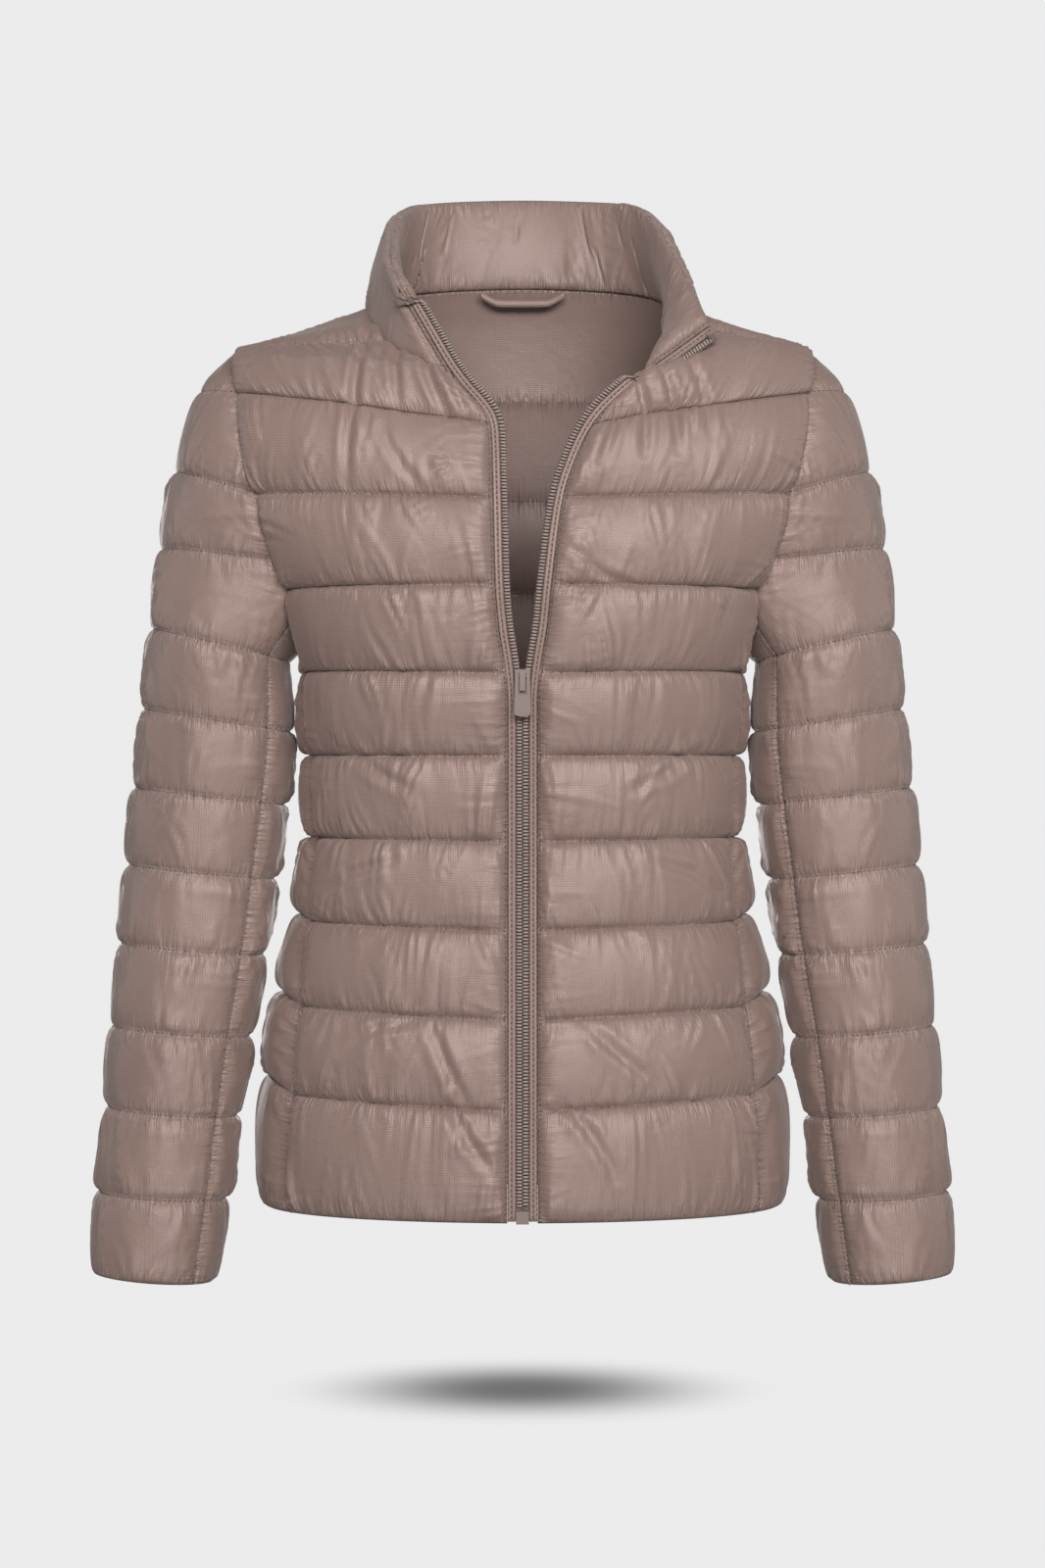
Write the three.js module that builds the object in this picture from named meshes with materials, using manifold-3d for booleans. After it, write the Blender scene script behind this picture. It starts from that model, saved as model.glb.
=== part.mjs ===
// Quilted puffer jacket, half unzipped and filled out as if it were worn.
// Millimetres, +Z up, +X to the wearer's left, +Y to the back.
// The origin is the middle of the neck base, level with the two neck points.
import * as THREE from 'three';
import { mergeVertices } from 'three/addons/utils/BufferGeometryUtils.js';
import Module from 'manifold-3d';

// Cloth and seams
const WALL = 2.0;            // thickness of the quilted cloth at a stitch line
const SEAM_WALL = 1.3;       // thickness where two pieces are sewn together
const BODY_PUFF = 6.5;       // how far a baffle stands out between its stitch lines
const SLEEVE_PUFF = 4.0;
const COLLAR_PUFF = 4.6;
const SEAM_INSET = 0.17;     // how far a piece ends before the seam line
const NECK_INSET = 0.7;      // the same at the shoulder and neck of the fronts
const COLLAR_INSET = 0.45;    // the same round the collar
const SEAM_PINCH = 0.3;      // share of the puff that is left beside a seam

// Grid steps
const FRONT_COLUMNS = 9;
const SHOULDER_COLUMNS = 3;  // back panel, beside each shoulder seam
const NECK_COLUMNS = 10;     // back panel, below the neck
const SIDE_COLUMNS = 4;
const SLEEVE_COLUMNS = 9;
const COLLAR_ROWS = 5;

// Body sections, one row for each stitch line from the shoulder seam (0) to the hem (11).
// zip, seam, back: heights at the zip, at the armhole or side seam, and at the centre back
// half, front, rear: half width and the depths to the front and to the rear
// seamX: where the side seam runs; forward: shift of the section to the rear
const BODY = [
  { line: 0, zip: -2, seam: -35, back: 21, half: 196, front: 0, rear: 0, shift: 8, seamX: 193 },
  { line: 1, zip: -30, seam: -38, back: -20, half: 196, front: 62, rear: 62, shift: 6, seamX: 193 },
  { line: 2, zip: -90, seam: -65, back: -55, half: 205, front: 92, rear: 92, shift: 2, seamX: 189 },
  { line: 3, zip: -139, seam: -132, back: -125, half: 203, front: 104, rear: 102, shift: 0, seamX: 176 },
  { line: 4, zip: -195, seam: -194, back: -190, half: 165, front: 112, rear: 104, shift: 0, seamX: 155 },
  { line: 5, zip: -252, seam: -249, back: -250, half: 147, front: 108, rear: 98, shift: 0, seamX: 143 },
  { line: 6, zip: -306, seam: -305, back: -305, half: 142, front: 101, rear: 90, shift: 0, seamX: 138 },
  { line: 7, zip: -362, seam: -360, back: -360, half: 141, front: 99, rear: 87, shift: 0, seamX: 134 },
  { line: 8, zip: -420, seam: -416, back: -412, half: 147, front: 103, rear: 93, shift: 0, seamX: 138 },
  { line: 9, zip: -478, seam: -472, back: -465, half: 159, front: 108, rear: 101, shift: 0, seamX: 144 },
  { line: 10, zip: -537, seam: -530, back: -521, half: 168, front: 112, rear: 107, shift: 0, seamX: 149 },
  { line: 11, zip: -609, seam: -608, back: -608, half: 171, front: 114, rear: 110, shift: 0, seamX: 152 },
];
const ROUNDNESS = 2.3;       // exponent of the body sections
const YOKE_ROUND = 5;        // how far the back yoke rounds out over the shoulder blades
const HEM_LINE = 11;

// Armhole: an oval seen from the side, its distance from the middle by height
const ARMHOLE = { y: 0, z: -132, halfDepth: 60, halfHeight: 97 };
const ARMHOLE_WIDTH = [
  { z: -229, x: 149 }, { z: -207, x: 152 }, { z: -186, x: 158 }, { z: -145, x: 171.5 },
  { z: -100, x: 183.5 }, { z: -58, x: 190 }, { z: -35, x: 193 },
];
// Where each stitch line meets the armhole, in degrees from the shoulder tip
const ARM_ANGLE = [
  { line: 0, angle: 0 }, { line: 1, angle: 14 }, { line: 2, angle: 46 }, { line: 3, angle: 90 },
  { line: 4, angle: 129.5 }, { line: 13 / 3, angle: 143 },
];
const UNDERARM_LINE = 13 / 3;  // the side seams start here, on the armhole
const NECK_POINT = { x: 103, y: 8, z: -2 };

// Collar stations from the right front edge round the back to the left front edge:
// the neck seam and the top edge
const COLLAR = [
  { line: 0, x: -45, y: -85, z: -58, topX: -79, topY: -69, topZ: 2 },
  { line: 1, x: -60, y: -78, z: -54, topX: -84, topY: -55, topZ: 13 },
  { line: 2, x: -80, y: -60, z: -41, topX: -89, topY: -30, topZ: 30 },
  { line: 3, x: -95, y: -30, z: -21, topX: -89, topY: -4, topZ: 46 },
  { line: 4, x: -103, y: 8, z: -2, topX: -86, topY: 22, topZ: 62 },
  { line: 5, x: -92, y: 42, z: 10, topX: -74, topY: 52, topZ: 76 },
  { line: 6, x: -55, y: 66, z: 18, topX: -42, topY: 76, topZ: 82 },
  { line: 7, x: 0, y: 75, z: 21, topX: 0, topY: 84, topZ: 84 },
  { line: 8, x: 55, y: 66, z: 18, topX: 42, topY: 76, topZ: 82 },
  { line: 9, x: 92, y: 42, z: 10, topX: 74, topY: 54, topZ: 77 },
  { line: 10, x: 103, y: 8, z: -2, topX: 92, topY: 26, topZ: 60 },
  { line: 11, x: 101, y: -25, z: -18, topX: 104, topY: -5, topZ: 32 },
  { line: 12, x: 93, y: -62, z: -38, topX: 114, topY: -38, topZ: 5 },
  { line: 13, x: 79, y: -89, z: -56, topX: 124, topY: -69, topZ: -22 },
];
const COLLAR_LEFT_POINT = 4;
const COLLAR_RIGHT_POINT = 10;
const COLLAR_END = 13;
const FOLD_STATION = 10.6;     // from here on the collar is folded outward and its puff is flattened
const FOLD_PUFF = 0.35;

// Front edges beside the zip, from the collar seam down: distance from the middle and depth
const FLAT_EDGE_LINE = 4.4;   // below this line the edges lie level with the fronts
const FRONT_EDGE_RIGHT = [
  { line: 1.5, x: 45, y: -85 }, { line: 2, x: 21, y: -94 }, { line: 3, x: 19.4, y: -107 },
  { line: 4, x: 18, y: -112.6 }, { line: 4.5, x: 15.6, y: -110 }, { line: 5.2, x: 9.8, y: -107 },
  { line: 11, x: 9.8, y: -114 },
];
const FRONT_EDGE_LEFT = [
  { line: 1.5, x: 79, y: -89 }, { line: 2, x: 46, y: -97 }, { line: 2.5, x: 34, y: -103 },
  { line: 3, x: 26.5, y: -107 }, { line: 4, x: 19, y: -112.6 }, { line: 4.5, x: 16, y: -110 },
  { line: 5.2, x: 9.8, y: -107 }, { line: 11, x: 9.8, y: -114 },
];
const NECK_CORNER_LINE = 1.5;

// Sleeve rings, one row for each stitch line below the underarm: outer and inner edge and depth
const SLEEVE = [
  { line: 4, outX: 248, outZ: -220, inX: 160, inZ: -241, half: 56, y: 0 },
  { line: 5, outX: 254, outZ: -274, inX: 160, inZ: -289, half: 54, y: 1 },
  { line: 6, outX: 260, outZ: -327, inX: 164, inZ: -338, half: 52, y: 1 },
  { line: 7, outX: 264, outZ: -379, inX: 171, inZ: -388, half: 50, y: 0 },
  { line: 8, outX: 269, outZ: -432, inX: 178, inZ: -439, half: 49, y: -4 },
  { line: 9, outX: 274, outZ: -487, inX: 187, inZ: -494, half: 47, y: -10 },
  { line: 10, outX: 277, outZ: -541, inX: 195, inZ: -547, half: 45, y: -16 },
  { line: 11, outX: 282, outZ: -597, inX: 202, inZ: -602, half: 43, y: -23 },
  { line: 12, outX: 285, outZ: -651, inX: 210, inZ: -657, half: 40, y: -30 },
];
// Sleeve head, from the shoulder tip down: outermost point of each row and where its ends meet the armhole
const SLEEVE_HEAD = [
  { line: 0, outX: 193.2, outZ: -35, armLine: 1, endAngle: 90 },
  { line: 1, outX: 216, outZ: -61, armLine: 2, endAngle: 90 },
  { line: 2, outX: 232, outZ: -114, armLine: 3, endAngle: 92 },
  { line: 3, outX: 242, outZ: -166, armLine: 11 / 3, endAngle: 108 },
  { line: 3.5, outX: 246, outZ: -193, armLine: 13 / 3, endAngle: 138 },
];
const SLEEVE_SEAM_LINE = 3.5;   // the sleeve seams start here
const SLEEVE_SEAM_ANGLE = 138;  // degrees from the outer side
const CUFF_LINE = 12;

const RAD = Math.PI / 180;
const vec = (x, y, z) => new THREE.Vector3(x, y, z);
const mix = (a, b, t) => a + (b - a) * t;

// Smooth value of a column between the rows of a table, without overshoot
function smooth(table, by, key, at) {
  const last = table.length - 1;
  const rising = table[last][by] > table[0][by];
  let i = 0;
  while (i < last - 1 && (rising ? table[i + 1][by] < at : table[i + 1][by] > at)) i += 1;
  const slope = (k) => (table[k + 1][key] - table[k][key]) / (table[k + 1][by] - table[k][by]);
  const tangent = (k) => {
    if (k <= 0) return slope(0);
    if (k >= last) return slope(last - 1);
    const before = slope(k - 1);
    const after = slope(k);
    return before * after <= 0 ? 0 : 2 * before * after / (before + after);
  };
  const span = table[i + 1][by] - table[i][by];
  const t = THREE.MathUtils.clamp((at - table[i][by]) / span, 0, 1);
  const t2 = t * t;
  const t3 = t2 * t;
  return table[i][key] * (2 * t3 - 3 * t2 + 1) + tangent(i) * span * (t3 - 2 * t2 + t)
    + table[i + 1][key] * (3 * t2 - 2 * t3) + tangent(i + 1) * span * (t3 - t2);
}

function linear(table, by, key, at) {
  let i = 0;
  while (i < table.length - 2 && table[i + 1][by] < at) i += 1;
  return mix(table[i][key], table[i + 1][key], (at - table[i][by]) / (table[i + 1][by] - table[i][by]));
}

const body = (line, key) => smooth(BODY, 'line', key, line);

// Depth of a body section at distance x from the middle: facing -1 front, 1 rear
function sectionY(line, x, facing) {
  const ratio = Math.min(Math.abs(x) / body(line, 'half'), 1);
  const depth = body(line, facing < 0 ? 'front' : 'rear');
  return facing * depth * (1 - ratio ** ROUNDNESS) ** (1 / ROUNDNESS) + body(line, 'shift');
}

// Point of the armhole, angle in degrees from the tip to the front (facing -1) or rear (1)
function armhole(angle, facing) {
  const y = ARMHOLE.y + facing * ARMHOLE.halfDepth * Math.sin(angle * RAD);
  const z = ARMHOLE.z + ARMHOLE.halfHeight * Math.cos(angle * RAD);
  return vec(smooth(ARMHOLE_WIDTH, 'z', 'x', z), y, z);
}

function armholeOut(angle, facing) {
  const y = facing * Math.sin(angle * RAD) / ARMHOLE.halfDepth;
  const z = Math.cos(angle * RAD) / ARMHOLE.halfHeight;
  return vec(0, y, z).normalize();
}

// Outer end of a body row, on the wearer's left: armhole above, side seam below
function rowEnd(line, facing) {
  if (line <= UNDERARM_LINE) return armhole(smooth(ARM_ANGLE, 'line', 'angle', line), facing);
  const top = armhole(smooth(ARM_ANGLE, 'line', 'angle', UNDERARM_LINE), facing);
  const t = THREE.MathUtils.clamp((line - UNDERARM_LINE) / (5 - UNDERARM_LINE), 0, 1);
  const x = body(line, 'seamX');
  const blend = 1 - t;
  const point = vec(x, sectionY(line, x, facing), body(line, 'seam'));
  const start = vec(body(UNDERARM_LINE, 'seamX'), 0, body(UNDERARM_LINE, 'seam'));
  start.y = sectionY(UNDERARM_LINE, start.x, facing);
  return point.add(top.sub(start).multiplyScalar(blend * blend));
}

function rowEndOut(line, facing) {
  if (line <= UNDERARM_LINE) return armholeOut(smooth(ARM_ANGLE, 'line', 'angle', line), facing);
  const ratio = body(line, 'seamX') / body(line, 'half');
  const depth = body(line, facing < 0 ? 'front' : 'rear');
  const x = ratio ** (ROUNDNESS - 1) / body(line, 'half');
  const y = (1 - ratio ** ROUNDNESS) ** ((ROUNDNESS - 1) / ROUNDNESS) / depth;
  return vec(x, facing * y, 0).normalize();
}

function collarSeam(station) {
  return vec(...['x', 'y', 'z'].map((key) => smooth(COLLAR, 'line', key, station)));
}

function collarTop(station) {
  return vec(...['topX', 'topY', 'topZ'].map((key) => smooth(COLLAR, 'line', key, station)));
}

function collarSeamOut(station) {
  const point = collarSeam(station);
  return vec(point.x, point.y + 5, 0).normalize().setZ(0.5).normalize();
}

// Collar station that a front row starts from; side 1 is the wearer's left
function neckStation(line, side) {
  const share = line < 1 ? line * 0.375 : mix(0.375, 1, (line - 1) / (NECK_CORNER_LINE - 1));
  return side < 0 ? COLLAR_LEFT_POINT * (1 - share)
    : COLLAR_RIGHT_POINT + (COLLAR_END - COLLAR_RIGHT_POINT) * share;
}

// Inner end of a front row: neck seam above, edge beside the zip below
function frontEdge(line, side) {
  if (line <= NECK_CORNER_LINE) return collarSeam(neckStation(line, side));
  const table = side < 0 ? FRONT_EDGE_RIGHT : FRONT_EDGE_LEFT;
  const corner = collarSeam(neckStation(NECK_CORNER_LINE, side)).z;
  const height = body(line, 'zip');
  const t = Math.min((line - NECK_CORNER_LINE) / 0.5, 1);
  const z = line < 2 ? mix(corner, body(2, 'zip'), t) : height;
  const flat = sectionY(line, 0, -1);
  const y = line > FLAT_EDGE_LINE ? flat : smooth(table, 'line', 'y', line);
  return vec(side * smooth(table, 'line', 'x', line), y, z);
}

// Front panel: share 0 at the zip, 1 at the armhole or side seam
function frontPoint(line, share, side) {
  const start = frontEdge(line, side);
  const end = rowEnd(line, -1);
  const x = mix(Math.abs(start.x), end.x, share);
  const startPull = (start.y - sectionY(line, start.x, -1)) * (1 - share) ** 3;
  const endPull = (end.y - sectionY(line, end.x, -1)) * share ** 3;
  return vec(side * x, sectionY(line, x, -1) + startPull + endPull, mix(start.z, end.z, share));
}

// Back panel: share -1 to 1 from the wearer's right to the left, as a part of the row's half width
function yokeTop(share) {
  const corner = NECK_POINT.x / body(0, 'seamX');
  if (Math.abs(share) <= corner) return collarSeam(mix(COLLAR_LEFT_POINT, COLLAR_RIGHT_POINT, (share / corner + 1) / 2));
  const t = (Math.abs(share) - corner) / (1 - corner);
  const tip = armhole(0, 1);
  const x = mix(NECK_POINT.x, tip.x, t);
  const y = mix(NECK_POINT.y, tip.y, t ** 3);
  return vec(Math.sign(share) * x, y, mix(NECK_POINT.z, tip.z, t));
}

function backPoint(line, share) {
  const row = Math.max(line, 2);
  const end = rowEnd(row, 1);
  const x = end.x * Math.abs(share);
  const pull = (end.y - sectionY(row, end.x, 1)) * Math.abs(share) ** 3;
  const z = mix(body(row, 'back'), end.z, share * share);
  const point = vec(Math.sign(share) * x, sectionY(row, x, 1) + pull, z);
  if (line >= 2) return point;
  const t = line / 2;
  const round = YOKE_ROUND * 4 * t * (1 - t);
  const rowPoint = (s) => yokeTop(s).lerp(s === share ? point : end.clone(), t);
  const tipError = rowEnd(line, 1).sub(rowPoint(1)).multiplyScalar(Math.abs(share) ** 4);
  tipError.x *= Math.sign(share);
  return rowPoint(share).add(tipError).add(vec(0, 0.6 * round, 0.8 * round).multiplyScalar(1 - share ** 4));
}

// Side panel on the wearer's left: share 0 at the front seam, 1 at the rear seam
function sideRing(line, share) {
  const half = body(line, 'half');
  const limit = Math.acos((body(line, 'seamX') / half) ** (ROUNDNESS / 2));
  const angle = mix(-limit, limit, share);
  const depth = body(line, angle < 0 ? 'front' : 'rear');
  const x = half * Math.cos(angle) ** (2 / ROUNDNESS);
  const y = Math.sign(angle) * depth * Math.abs(Math.sin(angle)) ** (2 / ROUNDNESS);
  const height = mix(body(line, 'back'), body(line, 'seam'), (2 * share - 1) ** 2);
  return vec(x, y + body(line, 'shift'), height);
}

function sidePoint(line, share) {
  if (line >= 5) return sideRing(line, share);
  const t = (line - UNDERARM_LINE) / (5 - UNDERARM_LINE);
  const start = smooth(ARM_ANGLE, 'line', 'angle', UNDERARM_LINE);
  const arc = armhole(mix(start, 360 - start, share), -1);
  const point = arc.lerp(sideRing(5, share), t);
  const error = rowEnd(line, share < 0.5 ? -1 : 1).sub(
    armhole(start, share < 0.5 ? -1 : 1).lerp(sideRing(5, share < 0.5 ? 0 : 1), t));
  return point.add(error.multiplyScalar((2 * share - 1) ** 2));
}

// Sleeve on the wearer's left
function sleeveRing(line, degrees) {
  const get = (key) => smooth(SLEEVE, 'line', key, line);
  const across = Math.cos(degrees * RAD);
  return vec(mix(get('inX'), get('outX'), (1 + across) / 2),
    get('y') + get('half') * Math.sin(degrees * RAD),
    mix(get('inZ'), get('outZ'), (1 + across) / 2));
}

function sleeveCentre(line) {
  return sleeveRing(Math.max(line, 4), 0).add(sleeveRing(Math.max(line, 4), 180)).multiplyScalar(0.5);
}

function upperSleevePoint(line, share) {
  const ringPoint = sleeveRing(Math.max(line, 4), mix(-SLEEVE_SEAM_ANGLE, SLEEVE_SEAM_ANGLE, share));
  if (line >= 4) return ringPoint;
  const head = Math.min(line, SLEEVE_SEAM_LINE);
  const armLine = linear(SLEEVE_HEAD, 'line', 'armLine', head);
  const angle = smooth(ARM_ANGLE, 'line', 'angle', armLine);
  const end = armhole(angle, 1);
  const endTurn = smooth(SLEEVE_HEAD, 'line', 'endAngle', head) * RAD;
  const outX = smooth(SLEEVE_HEAD, 'line', 'outX', head);
  const outZ = smooth(SLEEVE_HEAD, 'line', 'outZ', head);
  const turn = mix(-endTurn, endTurn, share);
  const rise = (Math.cos(turn) - Math.cos(endTurn)) / (1 - Math.cos(endTurn));
  const point = vec(mix(end.x, outX, rise), end.y * Math.sin(turn) / Math.sin(endTurn), mix(end.z, outZ, rise));
  const t = (line - SLEEVE_SEAM_LINE) / (4 - SLEEVE_SEAM_LINE);
  return line <= SLEEVE_SEAM_LINE ? point : point.lerp(ringPoint, t);
}

function underSleevePoint(line, share) {
  const ringPoint = sleeveRing(Math.max(line, 4), mix(SLEEVE_SEAM_ANGLE, 360 - SLEEVE_SEAM_ANGLE, 1 - share));
  if (line >= 4) return ringPoint;
  const start = smooth(ARM_ANGLE, 'line', 'angle', UNDERARM_LINE);
  const arc = armhole(mix(start, 360 - start, share), -1);
  return arc.lerp(ringPoint, (line - SLEEVE_SEAM_LINE) / (4 - SLEEVE_SEAM_LINE));
}

function sleeveSeamOut(line, share) {
  if (line <= SLEEVE_SEAM_LINE) {
    const armLine = linear(SLEEVE_HEAD, 'line', 'armLine', line);
    return armholeOut(smooth(ARM_ANGLE, 'line', 'angle', armLine), share < 0.5 ? -1 : 1);
  }
  return upperSleevePoint(line, share).sub(sleeveCentre(line)).normalize();
}

// Collar middle surface: rise 0 at the neck seam, 1 at the top edge
const collarPoint = (rise, station) => collarSeam(station).lerp(collarTop(station), rise);

// Height of a baffle above its stitch lines, 0 to 1
function puffShape(line) {
  const t = line - Math.floor(line + 1e-6);
  return (4 * t * (1 - t)) ** 0.6;
}

const seamShape = (share) => Math.min(1, SEAM_PINCH + 6 * Math.min(share, 1 - share));

// Closed wall over a grid: rows at the given lines and columns at the given shares
function wall(lines, shares, pointAt, heightAt, options = {}) {
  const rows = lines.length - 1;
  const columns = shares.length - 1;
  const grid = lines.map((line) => shares.map((share) => pointAt(line, share)));
  const normals = grid.map((row, i) => row.map((point, j) => {
    const down = grid[Math.min(i + 1, rows)][j].clone().sub(grid[Math.max(i - 1, 0)][j]);
    const across = row[Math.min(j + 1, columns)].clone().sub(row[Math.max(j - 1, 0)]);
    return across.cross(down).normalize().multiplyScalar(options.turn ?? 1);
  }));
  const edge = options.edgeOut ?? {};
  for (let i = 0; i <= rows; i += 1) {
    if (edge.first) normals[i][0] = edge.first(lines[i]) ?? normals[i][0];
    if (edge.last) normals[i][columns] = edge.last(lines[i]) ?? normals[i][columns];
  }
  for (let j = 0; j <= columns; j += 1) {
    if (edge.top) normals[0][j] = edge.top(shares[j]) ?? normals[0][j];
  }
  const inner = grid.map((row, i) => row.map((point, j) => {
    const moved = point.clone();
    const inset = lines[i] <= NECK_CORNER_LINE ? options.neckInset ?? SEAM_INSET : SEAM_INSET;
    const towards = (other) => moved.addScaledVector(other.clone().sub(point).normalize(), inset);
    if (i === 0) towards(grid[1][j]);
    if (i === rows) towards(grid[rows - 1][j]);
    if (j === 0) towards(row[1]);
    if (j === columns) towards(row[columns - 1]);
    return moved.addScaledVector(normals[i][j], options.lift ?? 0);
  }));
  const outer = inner.map((row, i) => row.map((point, j) => point.clone()
    .addScaledVector(normals[i][j], heightAt(lines[i], shares[j]) * (options.way ?? 1))));
  return shell(inner, outer, (options.turn ?? 1) * (options.way ?? 1) < 0);
}

// Closed solid between two grids of points
function shell(inner, outer, reversed) {
  const rows = inner.length;
  const columns = inner[0].length;
  const positions = [];
  const indices = [];
  for (const point of [...inner.flat(), ...outer.flat()]) positions.push(point.x, point.y, point.z);
  const at = (layer, i, j) => layer * rows * columns + i * columns + j;
  const quad = (a, b, c, d) => {
    if (reversed) indices.push(a, c, b, a, d, c);
    else indices.push(a, b, c, a, c, d);
  };
  for (let i = 0; i < rows - 1; i += 1) {
    for (let j = 0; j < columns - 1; j += 1) {
      quad(at(0, i, j), at(0, i + 1, j), at(0, i + 1, j + 1), at(0, i, j + 1));
      quad(at(1, i, j), at(1, i, j + 1), at(1, i + 1, j + 1), at(1, i + 1, j));
    }
    quad(at(0, i, 0), at(1, i, 0), at(1, i + 1, 0), at(0, i + 1, 0));
    quad(at(0, i, columns - 1), at(0, i + 1, columns - 1), at(1, i + 1, columns - 1), at(1, i, columns - 1));
  }
  for (let j = 0; j < columns - 1; j += 1) {
    quad(at(0, 0, j), at(0, 0, j + 1), at(1, 0, j + 1), at(1, 0, j));
    quad(at(0, rows - 1, j), at(1, rows - 1, j), at(1, rows - 1, j + 1), at(0, rows - 1, j + 1));
  }
  const geometry = new THREE.BufferGeometry();
  geometry.setAttribute('position', new THREE.Float32BufferAttribute(positions, 3));
  geometry.setIndex(indices);
  geometry.computeVertexNormals();
  return geometry;
}

const CLOTH = { color: 0x96857e, roughness: 0.5, metalness: 0 };
const TAPE = { color: 0x7d6d66, roughness: 0.7, metalness: 0 };
const METAL = { color: 0xa39790, roughness: 0.35, metalness: 0.8 };
const jacket = new THREE.Group();

function add(name, geometry, finish, mirrored = false) {
  if (mirrored) {
    geometry.scale(-1, 1, 1);
    const index = geometry.index.array;
    for (let i = 0; i < index.length; i += 3) [index[i + 1], index[i + 2]] = [index[i + 2], index[i + 1]];
  }
  const mesh = new THREE.Mesh(geometry, new THREE.MeshStandardMaterial(finish));
  mesh.name = name;
  jacket.add(mesh);
  return mesh;
}

// Line numbers from first to last with so many steps between
function steps(first, last, count) {
  return Array.from({ length: count + 1 }, (_, i) => mix(first, last, i / count));
}

const BAFFLE_STEPS = 3;
const joinLines = (...parts) => parts.flatMap((part, i) => (i ? part.slice(1) : part));
const bodyLines = joinLines(steps(0, 1, 2), steps(1, 2, 6), steps(2, HEM_LINE, (HEM_LINE - 2) * BAFFLE_STEPS));
const sideLines = bodyLines.filter((line) => line > UNDERARM_LINE - 1e-6);
const headLines = joinLines(steps(0, 1, 6), steps(1, 2, 3), steps(2, 3, 2), steps(3, 3.5, 2));
const lowerSleeveLines = joinLines(steps(3.5, 4, 2), steps(4, CUFF_LINE, (CUFF_LINE - 4) * BAFFLE_STEPS));
const sleeveLines = joinLines(headLines, lowerSleeveLines);

const frontHeight = (line, share) => (line < 2 ? Math.min(bodyHeight(line, share), SEAM_WALL + 22 * share)
  : bodyHeight(line, share));
const bodyHeight = (line, share) => (share <= 0 || share >= 1 || line === 0 ? SEAM_WALL
  : WALL + BODY_PUFF * puffShape(line) * seamShape(share));

function addFront(name, side) {
  const first = (line) => (line <= NECK_CORNER_LINE ? collarSeamOut(neckStation(line, side)) : null);
  const last = (line) => {
    const out = rowEndOut(line, -1);
    return out.setX(out.x * side);
  };
  const top = (share) => (share > 0 ? vec(side * 0.2, 0, 1).normalize() : collarSeamOut(neckStation(0, side)));
  const geometry = wall(bodyLines, steps(0, 1, FRONT_COLUMNS), (line, share) => frontPoint(line, share, side),
    frontHeight, { turn: -side, neckInset: NECK_INSET, edgeOut: { first, last, top } });
  add(name, geometry, CLOTH);
}

function addBack() {
  const corner = NECK_POINT.x / body(0, 'seamX');
  const shares = joinLines(steps(-1, -corner, SHOULDER_COLUMNS), steps(-corner, corner, NECK_COLUMNS),
    steps(corner, 1, SHOULDER_COLUMNS));
  const top = (share) => {
    if (Math.abs(share) > corner + 1e-6) return vec(Math.sign(share) * 0.2, 0, 1).normalize();
    return collarSeamOut(mix(COLLAR_LEFT_POINT, COLLAR_RIGHT_POINT, (share / corner + 1) / 2));
  };
  const end = (side) => (line) => {
    const out = rowEndOut(line, 1);
    return out.setX(out.x * side);
  };
  const height = (line, share) => bodyHeight(line < 2 ? line / 2 : line, (share + 1) / 2);
  const geometry = wall(bodyLines, shares, backPoint, height,
    { turn: 1, edgeOut: { first: end(-1), last: end(1), top } });
  add('back', geometry, CLOTH);
}

function addSide(name, mirrored) {
  const start = smooth(ARM_ANGLE, 'line', 'angle', UNDERARM_LINE);
  const edgeOut = {
    first: (line) => rowEndOut(line, -1),
    last: (line) => rowEndOut(line, 1),
    top: (share) => armholeOut(mix(start, 360 - start, share), -1),
  };
  const height = (line, share) => (line < 5 ? mix(SEAM_WALL, WALL, line - 4) : bodyHeight(line, share));
  add(name, wall(sideLines, steps(0, 1, SIDE_COLUMNS), sidePoint, height, { turn: -1, edgeOut }), CLOTH, mirrored);
}

function addSleeve(upperName, underName, mirrored) {
  const start = smooth(ARM_ANGLE, 'line', 'angle', UNDERARM_LINE);
  const upperEdge = {
    first: (line) => sleeveSeamOut(line, 0),
    last: (line) => sleeveSeamOut(line, 1),
    top: (share) => armholeOut(mix(-14, 14, share), 1),
  };
  const upperHeight = (line, share) => (share <= 0 || share >= 1 || line === 0 ? SEAM_WALL
    : WALL + SLEEVE_PUFF * puffShape(line) * seamShape(share));
  add(upperName, wall(sleeveLines, steps(0, 1, SLEEVE_COLUMNS), upperSleevePoint, upperHeight,
    { turn: -1, edgeOut: upperEdge }), CLOTH, mirrored);
  const underEdge = {
    first: (line) => sleeveSeamOut(line, 0),
    last: (line) => sleeveSeamOut(line, 1),
    top: (share) => armholeOut(mix(start, 360 - start, share), -1),
  };
  const underHeight = (line, share) => (line < 6 ? mix(SEAM_WALL, WALL, (line - 3.5) / 2.5)
    : upperHeight(line, share));
  add(underName, wall(lowerSleeveLines, steps(0, 1, SIDE_COLUMNS), underSleevePoint, underHeight,
    { turn: 1, edgeOut: underEdge }), CLOTH, mirrored);
}

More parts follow.
